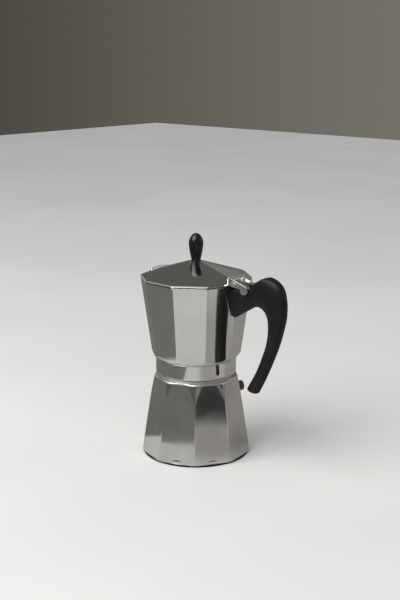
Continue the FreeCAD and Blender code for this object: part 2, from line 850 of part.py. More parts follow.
lip = draw_outline(new_sketch(lid, "XZ_Plane"), [
    (-d.lip_outer, bevel_bottom),
    (-d.lip_inner, bevel_bottom),
    (-d.lip_inner, d.lip_top),
    (-d.lip_outer, d.lip_top),
])
extruded(lid, lip, d.lip_half_width * 2, both_ways=True)
tab = draw_outline(new_sketch(lid, "XZ_Plane"), [
    (d.tab_inner, d.tab_bottom),
    (d.tab_outer, d.tab_bottom),
    (d.tab_outer, d.tab_top),
    (d.tab_inner, d.tab_top),
])
extruded(lid, tab, d.tab_half_width * 2, both_ways=True)
knob_hole = draw_circle(new_sketch(lid, "XY_Plane", d.lid_top), 0, 0, d.knob_hole)
extruded(lid, knob_hole, d.lid_wall * 3, "Pocket")
rivet_holes = new_sketch(lid, "YZ_Plane", d.tab_inner)
for side in (-1, 1):
    draw_circle(rivet_holes, d.rivet_side * side, d.rivet_height, d.rivet_radius + d.pin_fit)
extruded(lid, rivet_holes, d.tab_half_width, "Pocket", both_ways=True)

# Knob, and the screw and washer that hold it from inside the lid.
knob = new_body("knob")
knob_bottom = d.lid_top + d.stack_gap
turned(knob, [
    (d.knob_screw_hole, knob_bottom),
    (d.knob_waist, knob_bottom, d.knob_flank),
    (d.knob_radius, d.knob_belly, d.knob_belly_arc),
    (d.knob_crown_radius, d.knob_crown, dome_radius(d.knob_crown_radius, d.knob_top - d.knob_crown)),
    (0, d.knob_top),
    (0, d.screw_tip + d.lid_wall),
    (d.knob_screw_hole, d.screw_tip + d.lid_wall),
])

lid_ceiling = d.lid_top - d.lid_wall
washer_top = lid_ceiling - d.stack_gap
washer_bottom = washer_top - d.knob_washer_height
knob_washer = new_body("knob_washer")
turned(knob_washer, [
    (d.knob_hole, washer_bottom),
    (d.knob_washer_radius, washer_bottom),
    (d.knob_washer_radius, washer_top),
    (d.knob_hole, washer_top),
])

head_top = washer_bottom - d.stack_gap
knob_screw = new_body("knob_screw")
turned(knob_screw, [
    (0, head_top - d.screw_head_height),
    (d.screw_face_radius, head_top - d.screw_head_height),
    (d.screw_head_radius, head_top - d.screw_head_side),
    (d.screw_head_radius, head_top),
    (d.screw_radius, head_top),
    (d.screw_radius, d.screw_tip),
    (0, d.screw_tip),
])
slot = draw_outline(new_sketch(knob_screw, "XY_Plane", head_top - d.screw_head_height), [
    (-d.screw_head_radius, -d.screw_slot_half),
    (d.screw_head_radius, -d.screw_slot_half),
    (d.screw_head_radius, d.screw_slot_half),
    (-d.screw_head_radius, d.screw_slot_half),
])
extruded(knob_screw, slot, d.screw_head_height, "Pocket", both_ways=True)

# Hinge leaf: a wedge from the lid tab to two ears round the pin. Its top edge is tangent to the knuckle.
top_run = value_of(d.tab_outer + d.stack_gap - d.hinge_out)
top_rise = value_of(d.leaf_top - d.hinge_height)
tangent_turn = math.atan2(top_rise, top_run) - math.acos(
    DIMENSIONS["knuckle_radius"] / math.hypot(top_run, top_rise))
knuckle_dip = value_of(d.knuckle_bottom - d.hinge_height) / DIMENSIONS["knuckle_radius"]
under_turn = math.pi - math.asin(knuckle_dip)
leaf_root = d.tab_outer + d.stack_gap
hinge_leaf = new_body("hinge_leaf")
BOTTOM_TURN = -math.pi / 2


def on_circle(radius, turn):
    """Point on a circle about the hinge axis, seen from the side."""
    return (d.hinge_out + radius * math.cos(turn), d.hinge_height + radius * math.sin(turn))


leaf_sketch = draw_outline(new_sketch(hinge_leaf, "XZ_Plane"), [
    (leaf_root, d.leaf_top),
    (leaf_root, d.leaf_root_height),
    (*on_circle(d.knuckle_radius, under_turn), d.knuckle_radius),
    (*on_circle(d.knuckle_radius, BOTTOM_TURN), d.knuckle_radius),
    on_circle(d.knuckle_radius, tangent_turn),
])
extruded(hinge_leaf, leaf_sketch, d.leaf_half_width * 2, both_ways=True)
SLOT_REACH = 20
slot_sketch = draw_outline(new_sketch(hinge_leaf, "XY_Plane", d.hinge_height), [
    (d.slot_start, -d.slot_half_width),
    (d.slot_start + SLOT_REACH, -d.slot_half_width),
    (d.slot_start + SLOT_REACH, d.slot_half_width),
    (d.slot_start, d.slot_half_width),
])
extruded(hinge_leaf, slot_sketch, SLOT_REACH * 2, "Pocket", both_ways=True)
leaf_bore = draw_circle(new_sketch(hinge_leaf, "XZ_Plane"), d.hinge_out, d.hinge_height,
                        d.pin_radius + d.pin_fit)
extruded(hinge_leaf, leaf_bore, d.leaf_half_width * 4, "Pocket", both_ways=True)
leaf_rivet_holes = new_sketch(hinge_leaf, "YZ_Plane", leaf_root)
for side in (-1, 1):
    draw_circle(leaf_rivet_holes, d.rivet_side * side, d.rivet_height, d.rivet_radius + d.pin_fit)
extruded(hinge_leaf, leaf_rivet_holes, d.rivet_depth * 2, "Pocket", both_ways=True)


def rivet(label, side):
    body = new_body(label)
    shank = draw_circle(new_sketch(body, "YZ_Plane", d.tab_inner - d.stack_gap), d.rivet_side * side,
                        d.rivet_height, d.rivet_radius)
    extruded(body, shank, d.tab_outer - d.tab_inner + d.rivet_depth - d.stack_gap)
    head = draw_circle(new_sketch(body, "YZ_Plane", d.tab_inner - d.stack_gap), d.rivet_side * side,
                       d.rivet_height, d.rivet_head)
    extruded(body, head, d.rivet_head_height, downward=True)
    return body


hinge_rivets = doc.addObject("Part::Compound", "hinge_rivets")
hinge_rivets.Links = [rivet("rivet_right", -1), rivet("rivet_left", 1)]
hinge_rivets.Label = "hinge_rivets"

hinge_pin = new_body("hinge_pin")
pin_sketch = draw_circle(new_sketch(hinge_pin, "XZ_Plane"), d.hinge_out, d.hinge_height, d.pin_radius)
extruded(hinge_pin, pin_sketch, d.leaf_half_width * 2, both_ways=True)

# Handle: a block behind the pot and a hook carried through ovals, from the head down to a rounded tip. The
# head is cut away round the hinge knuckle and its sloping face stops the lid. A tongue between the ears
# holds the pin.
OPEN_TURN = 100
stop_turn = tangent_turn - math.radians(OPEN_TURN)
FACE_RUN = 16
face_foot = on_circle(d.notch_radius, stop_turn)
face_top = (face_foot[0] - FACE_RUN * math.sin(stop_turn), face_foot[1] + FACE_RUN * math.cos(stop_turn))
notch_start_turn = math.pi - math.asin(value_of(d.handle_shelf - d.hinge_height) / DIMENSIONS["notch_radius"])
handle = new_body("handle")
block_sketch = draw_outline(new_sketch(handle, "XZ_Plane"), [
    (d.handle_face, d.handle_shelf),
    (d.handle_face, d.handle_heel),
    (d.heel_out, d.heel_height),
    (d.block_out, d.block_under),
    (d.block_out, d.handle_shelf),
])
extruded(handle, block_sketch, d.handle_half_width * 2, both_ways=True)


def hook_section(place):
    """Oval across the hook at one named place, leaning about Y so that it stands square to the hook."""
    sketch = new_sketch(handle, "XY_Plane", getattr(d, f"{place}_height"))
    bind(sketch, "AttachmentOffset.Base.x", getattr(d, f"{place}_out"))
    turn = FreeCAD.Rotation(FreeCAD.Vector(0, 1, 0), value_of(getattr(d, f"{place}_lean")))
    sketch.AttachmentOffset = FreeCAD.Placement(sketch.AttachmentOffset.Base, turn)
    thick = value_of(getattr(d, f"{place}_thick"))
    wide = value_of(getattr(d, f"{place}_wide"))
    oval = Part.Ellipse(FreeCAD.Vector(thick, 0, 0), FreeCAD.Vector(0, wide, 0), FreeCAD.Vector(0, 0, 0))
    sketch.addGeometry(oval, False)
    return sketch


def hook_part(sections):
    feature = handle.newObject("PartDesign::AdditiveLoft", "Hook")
    feature.Profile = sections[0]
    feature.Sections = sections[1:]
    doc.recompute()
    return feature


grip_sections = [hook_section(place) for place in ("tip", "toe", "low", "middle", "wrist", "bend")]
head_sections = [hook_section(place) for place in ("jaw", "cheek", "crown", "temple")]
doc.recompute()
hook_part([grip_sections[-1], *head_sections])
hook = hook_part(grip_sections)
tip_edges = [f"Edge{index}" for index, edge in enumerate(hook.Shape.Edges, start=1)
             if edge.BoundBox.ZMax < value_of(d.tip_height + d.tip_thick) and edge.isClosed()]
rounded = handle.newObject("PartDesign::Fillet", "Rounded")
rounded.Base = (hook, tip_edges)
bind(rounded, "Radius", d.tip_round)
doc.recompute()
clear_left = d.handle_face - d.lug_end
clear_top = d.knob_top
notch_sketch = draw_outline(new_sketch(handle, "XZ_Plane"), [
    (clear_left, d.handle_shelf),
    (*on_circle(d.notch_radius, notch_start_turn), d.notch_radius),
    (*on_circle(d.notch_radius, BOTTOM_TURN), d.notch_radius),
    face_foot,
    face_top,
    (face_top[0], clear_top),
    (clear_left, clear_top),
])
extruded(handle, notch_sketch, d.handle_half_width * 4, "Pocket", both_ways=True)
tongue_sketch = draw_outline(new_sketch(handle, "XZ_Plane"), [
    (d.hinge_out - d.knuckle_radius, d.hinge_height - d.knuckle_radius),
    (d.hinge_out + d.knuckle_radius, d.hinge_height - d.knuckle_radius),
    (*on_circle(d.knuckle_radius, 0), d.knuckle_radius),
    (*on_circle(d.knuckle_radius, math.pi / 2), d.knuckle_radius),
    on_circle(d.knuckle_radius, math.pi),
])
extruded(handle, tongue_sketch, d.tongue_half_width * 2, both_ways=True)
pin_hole = draw_circle(new_sketch(handle, "XZ_Plane"), d.hinge_out, d.hinge_height, d.pin_radius + d.pin_fit)
extruded(handle, pin_hole, d.handle_half_width * 4, "Pocket", both_ways=True)
socket_sketch = draw_outline(new_sketch(handle, "XZ_Plane"), [
    (d.handle_face - d.lug_fit, d.lug_bottom - d.lug_fit),
    (d.lug_end + d.lug_fit, d.lug_bottom - d.lug_fit),
    (d.lug_end + d.lug_fit, d.lug_top + d.lug_fit),
    (d.handle_face - d.lug_fit, d.lug_top + d.lug_fit),
])
extruded(handle, socket_sketch, (d.lug_half_width + d.lug_fit) * 2, "Pocket", both_ways=True)
screw_hole = draw_circle(new_sketch(handle, "XY_Plane", d.handle_web), d.handle_screw_out, 0,
                         d.handle_screw_radius + d.lug_fit)
extruded(handle, screw_hole, d.lug_bottom - d.handle_web, "Pocket", downward=True)
screw_well = draw_circle(new_sketch(handle, "XY_Plane", d.handle_web), d.handle_screw_out, 0,
                         d.handle_screw_head + d.lug_fit)
extruded(handle, screw_well, d.handle_web - d.heel_height, "Pocket")

handle_screw = new_body("handle_screw")
screw_seat = d.handle_web - d.stack_gap
turned(handle_screw, [
    (0, screw_seat - d.handle_screw_head_height),
    (d.handle_screw_head, screw_seat - d.handle_screw_head_height),
    (d.handle_screw_head, screw_seat),
    (d.handle_screw_radius, screw_seat),
    (d.handle_screw_radius, d.handle_screw_tip),
    (0, d.handle_screw_tip),
])
bind(handle_screw, "Placement.Base.x", d.handle_screw_out)
doc.recompute()

pieces = [boiler, valve_body, valve_washer, valve_seat, valve_pin, valve_seal, valve_spring, funnel,
          funnel_disc, gasket, filter_plate, collector, column, handle, handle_screw, hinge_leaf,
          hinge_rivets, hinge_pin, lid, knob, knob_screw, knob_washer]
for thing in doc.Objects:
    if "Invalid" in thing.State or "Error" in thing.State:
        raise RuntimeError(f"{thing.Label} did not build: {thing.State}")
os.makedirs("parts", exist_ok=True)
for piece in pieces:
    shape = piece.Shape
    if shape.isNull() or not shape.isValid():
        raise RuntimeError(f"{piece.Label} has no valid shape")
    shape.exportStep(f"parts/{piece.Label}.step")
    print(piece.Label, len(shape.Solids), "solid", round(shape.Volume, 1), "cubic mm")
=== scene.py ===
# %% [markdown]
# # A stovetop coffee maker
# The pot is cast aluminium: a faceted boiler below, a ten-sided upper pot screwed onto it, and a lid
# with a black knob. A black hook handle carries the hinge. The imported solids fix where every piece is,
# and this lesson puts finer surfaces and finishes around them. Loading comes first, because each piece
# is placed by the solids.

# %% Load the solids
import math

import bpy
import numpy as np
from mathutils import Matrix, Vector


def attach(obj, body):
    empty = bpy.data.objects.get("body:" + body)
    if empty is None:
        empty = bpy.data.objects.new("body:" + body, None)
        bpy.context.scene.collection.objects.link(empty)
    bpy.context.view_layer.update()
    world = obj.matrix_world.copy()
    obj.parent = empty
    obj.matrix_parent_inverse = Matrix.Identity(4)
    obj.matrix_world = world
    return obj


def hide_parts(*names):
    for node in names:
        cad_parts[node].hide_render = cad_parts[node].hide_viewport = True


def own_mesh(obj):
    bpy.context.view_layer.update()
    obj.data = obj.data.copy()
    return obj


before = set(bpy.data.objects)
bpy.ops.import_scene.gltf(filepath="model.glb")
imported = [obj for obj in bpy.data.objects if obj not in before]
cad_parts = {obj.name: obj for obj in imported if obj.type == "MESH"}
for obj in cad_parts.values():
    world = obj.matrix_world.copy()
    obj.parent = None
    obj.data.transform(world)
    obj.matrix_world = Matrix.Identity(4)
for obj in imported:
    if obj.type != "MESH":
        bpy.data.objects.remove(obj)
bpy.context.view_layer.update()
scene = bpy.context.scene
scene.view_settings.view_transform = "Standard"
print("solids:", sorted(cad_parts))

# %% [markdown]
# ## Camera
# A photograph of metal only compares with a render if the camera stands in the same place, since every
# reflection depends on it. The place could be typed in as coordinates. Here it is a target, a distance
# and two angles, the way a photographer would say it, and the lens follows from how large the pot is in
# the picture.

# %% Camera
MM = 0.001
CAMERA_TURN = math.radians(42.3)
CAMERA_RISE = math.radians(13.35)
CAMERA_DISTANCE = 1084.4 * MM
CAMERA_TARGET = Vector((2.81, 2.56, 152.21)) * MM
LENS = 67.16
SENSOR = 36

towards_camera = Vector((math.sin(CAMERA_TURN), -math.cos(CAMERA_TURN), 0))
camera_right = Vector((math.cos(CAMERA_TURN), math.sin(CAMERA_TURN), 0))


def aim(name, data, target, turn, rise, distance):
    """Stands a camera or lamp at a distance from its target and faces it to the target. turn is its
    angle to the right of the line of sight, rise its angle above the floor."""
    level = towards_camera * math.cos(turn) + camera_right * math.sin(turn)
    away = level * math.cos(rise) + Vector((0, 0, math.sin(rise)))
    aimed = bpy.data.objects.new(name, data)
    aimed.location = target + away * distance
    aimed.rotation_euler = (-away).to_track_quat("-Z", "Y").to_euler()
    scene.collection.objects.link(aimed)
    print(name, "at", [round(value, 3) for value in aimed.location])
    return aimed


camera_data = bpy.data.cameras.new("camera")
camera_data.lens = LENS
camera_data.sensor_width = SENSOR
scene.camera = aim("camera", camera_data, CAMERA_TARGET, 0, CAMERA_RISE, CAMERA_DISTANCE)

# %% [markdown]
# ## Node helpers
# Every material and the world are small node graphs. Wiring them by hand repeats the same few lines, so
# helpers add a node, set its plain values and link the sockets they are given. Masks are numbers from 0
# to 1.

# %% Node helpers
UP = (0, 0, 1)


def add_node(tree, kind, sockets=None, **properties):
    """Adds a node, sets its properties, and sets or links its sockets by name or index."""
    node = tree.nodes.new(kind)
    for name, value in properties.items():
        setattr(node, name, value)
    for name, value in (sockets or {}).items():
        if isinstance(value, bpy.types.NodeSocket):
            tree.links.new(value, node.inputs[name])
        else:
            node.inputs[name].default_value = value
    return node


def add_math(tree, operation, *terms):
    """One arithmetic node on numbers or outputs."""
    node = add_node(tree, "ShaderNodeMath", dict(enumerate(terms)), operation=operation)
    return node.outputs[0]


def add_both(tree, first, second):
    """Product of two masks, which is 1 where both are."""
    return add_math(tree, "MULTIPLY", first, second)


def add_either(tree, first, second):
    """Larger of two masks."""
    return add_math(tree, "MAXIMUM", first, second)


def add_range(tree, value, low, high, start=0.0, end=1.0):
    """Maps low to high onto start to end with a soft step."""
    sockets = {"Value": value, "From Min": low, "From Max": high, "To Min": start, "To Max": end}
    return add_node(tree, "ShaderNodeMapRange", sockets, interpolation_type="SMOOTHSTEP").outputs[0]


def add_dot(tree, vector, direction):
    """How far a vector output reaches along a fixed direction."""
    node = add_node(tree, "ShaderNodeVectorMath", {0: vector, 1: direction}, operation="DOT_PRODUCT")
    return node.outputs["Value"]


def add_colour_mix(tree, mask, first, second):
    """First colour where the mask is 0, second where it is 1."""
    return add_node(tree, "ShaderNodeMix", {0: mask, 6: first, 7: second}, data_type="RGBA").outputs[2]


def add_noise(tree, place, lumps, detail=2.0, stretch=(1, 1, 1)):
    """Noise of so many lumps per metre, stretched along the axes."""
    mapped = add_node(tree, "ShaderNodeMapping", {"Vector": place, "Scale": stretch}).outputs[0]
    sockets = {"Vector": mapped, "Scale": lumps, "Detail": detail}
    return add_node(tree, "ShaderNodeTexNoise", sockets).outputs["Fac"]


def new_material(name):
    """Empty material, its node graph, and the place on the piece in metres."""
    material = bpy.data.materials.new(name)
    material.use_nodes = True
    tree = material.node_tree
    tree.nodes.clear()
    return material, tree, add_node(tree, "ShaderNodeTexCoord").outputs["Object"]


print("node helpers ready")

# %% [markdown]
# ## Surroundings
# Polished metal has hardly a colour of its own: it shows what is around it. A whole room could be
# modelled for it to mirror, but a plain studio is easier to keep tidy. The eye gets a quiet backdrop.
# Reflections get a dark surround with a pale panel overhead and two soft glows, the way a photographer
# stands cards round a shiny thing. Each pair of numbers below says where, along one direction, a tone
# fades in.

# %% World
BACKDROP_DARK = (0.062, 0.052, 0.042, 1)
BACKDROP_LIGHT = (0.185, 0.165, 0.150, 1)
BACKDROP_SIDE = (-0.3, 0.25)
SURROUND_DARK = (0.105, 0.105, 0.100, 1)
SURROUND_LIGHT = (0.21, 0.20, 0.185, 1)
LIGHT_SIDE = (0.02, 0.2)
LIGHT_BELOW = (0.68, 0.5)
PANEL = (0.62, 0.61, 0.59, 1)
PANEL_EDGE = (0.76, 0.98)
PANEL_LEAN = 0.3
LEFT_GLOW = (0.38, 0.375, 0.36, 1)
LEFT_GLOW_SIDE = (-0.26, -0.40)
LEFT_GLOW_BELOW = (0.46, 0.38)
LEFT_GLOW_DEPTH = (0.45, 0.6)
RIGHT_GLOW = (0.60, 0.59, 0.57, 1)
RIGHT_GLOW_SIDE = (0.76, 0.86)
RIGHT_GLOW_RISE = (0.06, 0.16)
FILL = (0.55, 0.55, 0.55, 1)

world = bpy.data.worlds.new("studio")
scene.world = world
world.use_nodes = True
tree = world.node_tree
tree.nodes.clear()
direction = add_node(tree, "ShaderNodeTexCoord").outputs["Generated"]
side = add_dot(tree, direction, tuple(camera_right))
depth = add_dot(tree, direction, tuple(-towards_camera))
height = add_dot(tree, direction, UP)
backdrop = add_colour_mix(tree, add_range(tree, side, *BACKDROP_SIDE), BACKDROP_DARK, BACKDROP_LIGHT)
lit = add_both(tree, add_range(tree, height, *LIGHT_BELOW), add_range(tree, side, *LIGHT_SIDE))
surround = add_colour_mix(tree, lit, SURROUND_DARK, SURROUND_LIGHT)
overhead = add_math(tree, "SUBTRACT", height, add_math(tree, "MULTIPLY", side, PANEL_LEAN))
surround = add_colour_mix(tree, add_range(tree, overhead, *PANEL_EDGE), surround, PANEL)
left = add_both(tree, add_range(tree, side, *LEFT_GLOW_SIDE), add_range(tree, height, *LEFT_GLOW_BELOW))
left = add_both(tree, left, add_range(tree, depth, *LEFT_GLOW_DEPTH))
surround = add_colour_mix(tree, left, surround, LEFT_GLOW)
right = add_both(tree, add_range(tree, side, *RIGHT_GLOW_SIDE), add_range(tree, height, *RIGHT_GLOW_RISE))
surround = add_colour_mix(tree, right, surround, RIGHT_GLOW)
rays = add_node(tree, "ShaderNodeLightPath").outputs
unseen = add_colour_mix(tree, rays["Is Glossy Ray"], FILL, surround)
seen = add_colour_mix(tree, rays["Is Camera Ray"], unseen, backdrop)
background = add_node(tree, "ShaderNodeBackground", {"Color": seen, "Strength": 1.0})
add_node(tree, "ShaderNodeOutputWorld", {"Surface": background.outputs[0]})
print("world:", len(tree.nodes), "nodes")

# %% [markdown]
# ## Floor
# To the eye the floor is one pale sheet with faint clouds. In the metal an even floor would make all
# facets alike, since each mirrors its own stretch of it. So reflections see other tones, painted in: a
# middle grey with a painted shadow of the pot on its right, near it and behind it, and dark painted shade
# beyond three soft lines, as dark card laid beside the pot would show. Real cards would stand in the
# picture, so the tones are mixed in the floor's paint and only shown to reflection rays.

# %% Floor
FLOOR_HALF = 3.0
floor_mesh = bpy.data.meshes.new("floor")
corner = np.array([(-1, -1, 0), (1, -1, 0), (1, 1, 0), (-1, 1, 0)]) * FLOOR_HALF
floor_mesh.from_pydata(corner.tolist(), [], [(0, 1, 2, 3)])
floor = bpy.data.objects.new("floor", floor_mesh)
scene.collection.objects.link(floor)
print("floor:", 2 * FLOOR_HALF, "m square")

# %% Paint of the floor
FLOOR_COLOUR = (0.74, 0.735, 0.72, 1)
CLOUD_COLOUR = (0.70, 0.695, 0.685, 1)
CLOUD_LUMPS = 3.0
CLOUD_RANGE = (0.3, 0.7)
METAL_FLOOR = (0.48, 0.475, 0.462, 1)
# Painted shadow of the pot, seen only in reflections: a darker grey to its right, near it and behind it.
POT_SHADOW_GREY = (0.305, 0.296, 0.282, 1)
POT_SHADOW_RIGHT = (0.0, 0.12)
POT_SHADOW_NEAR = (0.38, 0.22)
POT_SHADOW_BACK = (0.1, 0.0)
# Painted shade, seen only in reflections, beyond three soft lines.
SIDE_SHADE = (0.172, 0.168, 0.156, 1)
LEFT_EDGE = (-0.221, -0.241)
LEFT_SLOPE = 0.25
BACK_EDGE = (-0.0416, -0.0516)
BACK_SLOPE = 0.158
BACK_SIDE = (-0.04, -0.09)
RIGHT_SHADE = (0.032, 0.032, 0.032, 1)
RIGHT_EDGE = (0.22, 0.48)
RIGHT_FRONT = (0.28, 0.36)

floor_paint, tree, place = new_material("pale_floor")
right = add_dot(tree, place, tuple(camera_right))
front = add_dot(tree, place, tuple(towards_camera))
left_reach = add_math(tree, "MULTIPLY_ADD", front, -LEFT_SLOPE, right)
back_reach = add_math(tree, "MULTIPLY_ADD", right, BACK_SLOPE, front)
past_left = add_range(tree, left_reach, *LEFT_EDGE)
past_back = add_range(tree, back_reach, *BACK_EDGE)
past_back = add_both(tree, past_back, add_range(tree, right, *BACK_SIDE))
past_right = add_range(tree, right, *RIGHT_EDGE)
past_right = add_both(tree, past_right, add_range(tree, front, *RIGHT_FRONT))
past_edge = add_either(tree, add_either(tree, past_left, past_back), past_right)
in_metal = add_node(tree, "ShaderNodeLightPath").outputs["Is Glossy Ray"]
cloud = add_range(tree, add_noise(tree, place, CLOUD_LUMPS), *CLOUD_RANGE)
pale = add_colour_mix(tree, cloud, FLOOR_COLOUR, CLOUD_COLOUR)
pale = add_colour_mix(tree, in_metal, pale, METAL_FLOOR)
# Painted shadow of the pot: reflections see a darker grey to the right, near the pot and also behind it.
near_or_back = add_either(tree, add_range(tree, right, *POT_SHADOW_NEAR), add_range(tree, front, *POT_SHADOW_BACK))
pot_shadow = add_both(tree, add_range(tree, right, *POT_SHADOW_RIGHT), near_or_back)
pale = add_colour_mix(tree, add_both(tree, in_metal, pot_shadow), pale, POT_SHADOW_GREY)
diffuse = add_node(tree, "ShaderNodeBsdfDiffuse", {"Color": pale}).outputs[0]
# Painted shade: beyond the three lines reflections see a dark glow instead of the lit floor.
shade = add_colour_mix(tree, past_right, SIDE_SHADE, RIGHT_SHADE)
dark = add_node(tree, "ShaderNodeEmission", {"Color": shade, "Strength": 1.0}).outputs[0]
shaded = add_both(tree, in_metal, past_edge)
mixed = add_node(tree, "ShaderNodeMixShader", {0: shaded, 1: diffuse, 2: dark})
add_node(tree, "ShaderNodeOutputMaterial", {"Surface": mixed.outputs[0]})
floor_mesh.materials.append(floor_paint)
print("paint of the floor:", len(tree.nodes), "nodes")

# %% [markdown]
# ## Lamp
# One large soft lamp, high on the left, lights the pot and gives it a soft shadow. Several small lamps
# would each leave a hard spot in the polish, so it is a single square panel aimed at the middle of the
# pot.

# %% Lamp
LAMP_TURN = math.radians(-52)
LAMP_RISE = math.radians(48)
LAMP_DISTANCE = 1.8
LAMP_SIZE = 1.5
LAMP_POWER = 30
POT_MIDDLE = Vector((0, 0, 0.1))

lamp_data = bpy.data.lights.new("soft_lamp", "AREA")
lamp_data.shape = "RECTANGLE"
lamp_data.size = LAMP_SIZE
lamp_data.size_y = LAMP_SIZE
lamp_data.energy = LAMP_POWER
aim("soft_lamp", lamp_data, POT_MIDDLE, LAMP_TURN, LAMP_RISE, LAMP_DISTANCE)

# %% [markdown]
# ## From formulas to meshes
# A cast pot is a set of outlines stacked over each other. Boxes and cylinders joined with booleans
# would leave knife edges, which no casting has, and polished metal shows every edge as a line of light.
# So each piece is a grid: rows of points, each row one closed outline, computed as whole arrays.
# Corners are rounded in the outline itself.


# %% Grids
def grid_faces(rows, columns, loop):
    """Four-cornered faces between neighbouring rows. Columns close on themselves, rows only where loop
    is set."""
    row = np.arange(rows if loop else rows - 1)[:, None]
    column = np.arange(columns)[None, :]
    below = row * columns
    above = (row + 1) % rows * columns
    after = (column + 1) % columns
    corners = np.broadcast_arrays(below + column, below + after, above + after, above + column)
    return np.stack(corners, axis=-1).reshape(-1, 4).tolist()


def closed_grid(rows, loop=False):
    """Vertices and faces of a stack of closed outlines. With loop the last outline is joined to the
    first, without it one flat face closes each end."""
    count, columns = rows.shape[:2]
    faces = grid_faces(count, columns, loop)
    if not loop:
        faces.append(list(range(columns))[::-1])
        faces.append(list(range((count - 1) * columns, count * columns)))
    return rows.reshape(-1, 3), faces


def joined(*shapes):
    """Several shapes as one list of vertices and faces."""
    vertices = []
    faces = []
    for shape_vertices, shape_faces in shapes:
        start = sum(len(part) for part in vertices)
        vertices.append(shape_vertices)
        faces.extend([[index + start for index in face] for face in shape_faces])
    return np.concatenate(vertices), faces


def add_piece(name, shape, material, body, node):
    """Makes the mesh, smooth, in metres, lets it ride on its body and stand for its solid."""
    vertices, faces = shape
    mesh = bpy.data.meshes.new(name)
    mesh.from_pydata((vertices * MM).tolist(), [], faces)
    mesh.validate()
    mesh.shade_smooth()
    mesh.materials.append(material)
    piece = bpy.data.objects.new(name, mesh)
    scene.collection.objects.link(piece)
    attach(piece, body)
    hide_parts(node)
    size = vertices.max(0) - vertices.min(0)
    print(name, len(faces), "faces,", " x ".join(f"{value:.1f}" for value in size), "mm")
    return piece


print("grid of 4 by 6 points:", len(grid_faces(4, 6, False)), "faces")

# %% Outlines and curves
HOLD = 1.35
MOST_OF_EDGE = 0.36


def rounded(corners, reach, steps=5, between=0, closed=True):
    """Outline with its corners rounded. Each corner P becomes a parabola from a point `reach` before it
    to one `reach` after it, with P as its control point: (1-t)^2 B + 2t(1-t) P + t^2 A. A point a
    little further out on each side keeps the straight edge straight, and `between` adds even points
    along each edge. corners may have leading axes, so that a whole stack of outlines is rounded at
    once."""
    corners = np.asarray(corners, float)
    reach = np.broadcast_to(np.asarray(reach, float), corners.shape[:-1])
    before = np.roll(corners, 1, axis=-2) - corners
    after = np.roll(corners, -1, axis=-2) - corners
    length_before = np.linalg.norm(before, axis=-1)
    length_after = np.linalg.norm(after, axis=-1)
    reach = np.minimum(reach, MOST_OF_EDGE * np.minimum(length_before, length_after))[..., None]
    before = before / np.maximum(length_before, 1e-9)[..., None]
    after = after / np.maximum(length_after, 1e-9)[..., None]
    t = np.linspace(0, 1, steps + 1)[:, None]
    start = (corners + before * reach)[..., None, :]
    end = (corners + after * reach)[..., None, :]
    curve = (1 - t) ** 2 * start + 2 * t * (1 - t) * corners[..., None, :] + t**2 * end
    hold_before = (corners + before * reach * HOLD)[..., None, :]
    hold_after = (corners + after * reach * HOLD)[..., None, :]
    points = np.concatenate([hold_before, curve, hold_after], axis=-2)
    if between:
        share = (np.arange(between) + 1)[:, None] / (between + 1)
        next_hold = np.roll(hold_before, -1, axis=-3)
        points = np.concatenate([points, hold_after + share * (next_hold - hold_after)], axis=-2)
    outline = points.reshape(*corners.shape[:-2], -1, corners.shape[-1])
    if not closed:
        per_corner = points.shape[-2]
        inner = outline[..., per_corner:-per_corner, :]
        outline = np.concatenate([corners[..., :1, :], inner, corners[..., -1:, :]], axis=-2)
    return outline


def on_circle(centre, radius, turn):
    """Points of a circle at the given angles."""
    return centre + radius * np.stack([np.cos(turn), np.sin(turn)], axis=1)


def arc(start, end, radius, count):
    """Points of the shorter arc that turns left from start to end."""
    start, end = np.array(start, float), np.array(end, float)
    chord = end - start
    half = np.linalg.norm(chord) / 2
    left = np.array([-chord[1], chord[0]]) / (2 * half)
    centre = (start + end) / 2 + left * math.sqrt(radius**2 - half**2)
    first = math.atan2(*(start - centre)[::-1])
    sweep = 2 * math.asin(half / radius)
    return on_circle(centre, radius, first + np.linspace(0, sweep, count))


def full_turn(count):
    """Even angles once round, as one row."""
    return np.linspace(0, 2 * math.pi, count, endpoint=False)[None, :]


def profile_grid(profile, turn):
    """Radius and height of a profile at every angle about the upright axis."""
    radius = profile[:, 0][:, None] * np.ones_like(turn)
    height = profile[:, 1][:, None] * np.ones_like(turn)
    return radius, height


def turned(radius, turn, height):
    """Points at a radius, an angle and a height about the upright axis."""
    return np.stack([radius * np.cos(turn), radius * np.sin(turn), height], axis=-1)


def soft_min(first, second, softness):
    """The smaller of two lengths, with the crease between them eased over about `softness`."""
    return -softness * np.logaddexp(-first / softness, -second / softness)


def soft_max(first, second, softness):
    """The larger of two lengths, eased in the same way."""
    return -soft_min(-first, -second, softness)


def soft_step(value, low, high):
    """0 below low, 1 above high, and a smooth ramp 3t^2 - 2t^3 between."""
    t = np.clip((value - low) / (high - low), 0, 1)
    return t * t * (3 - 2 * t)


print("square with rounded corners:", len(rounded([(0, 0), (1, 0), (1, 1), (0, 1)], 0.2)), "points")

# %% [markdown]
# ## Finishes
# The aluminium is cast and then polished, so it mirrors what is around it but never perfectly: the
# wheel leaves faint waves, fine streaks and hazy patches. A plain metal shader would look like chrome.
# Three scales of noise are used: a slow one bends the reflection, a middle one makes it hazier in
# patches, and a fine one gives the streaks. The boiler lives on the hob, so it is duller; a painted
# shadow blackens it right at its foot, where it meets the floor, and it is satin on top where the lathe
# cut it.

# %% Metals
PATCHES = 38
STREAKS = 900
STREAK_STRETCH = (1, 1, 0.06)
WAVES = 55
PATCH_TONE = (0.35, 0.68)
PATCH_ROUGH = (0.3, 0.72)
STREAK_ROUGH = 0.03
WAVE_DEPTH = 0.001
STREAK_DEPTH = 0.0002
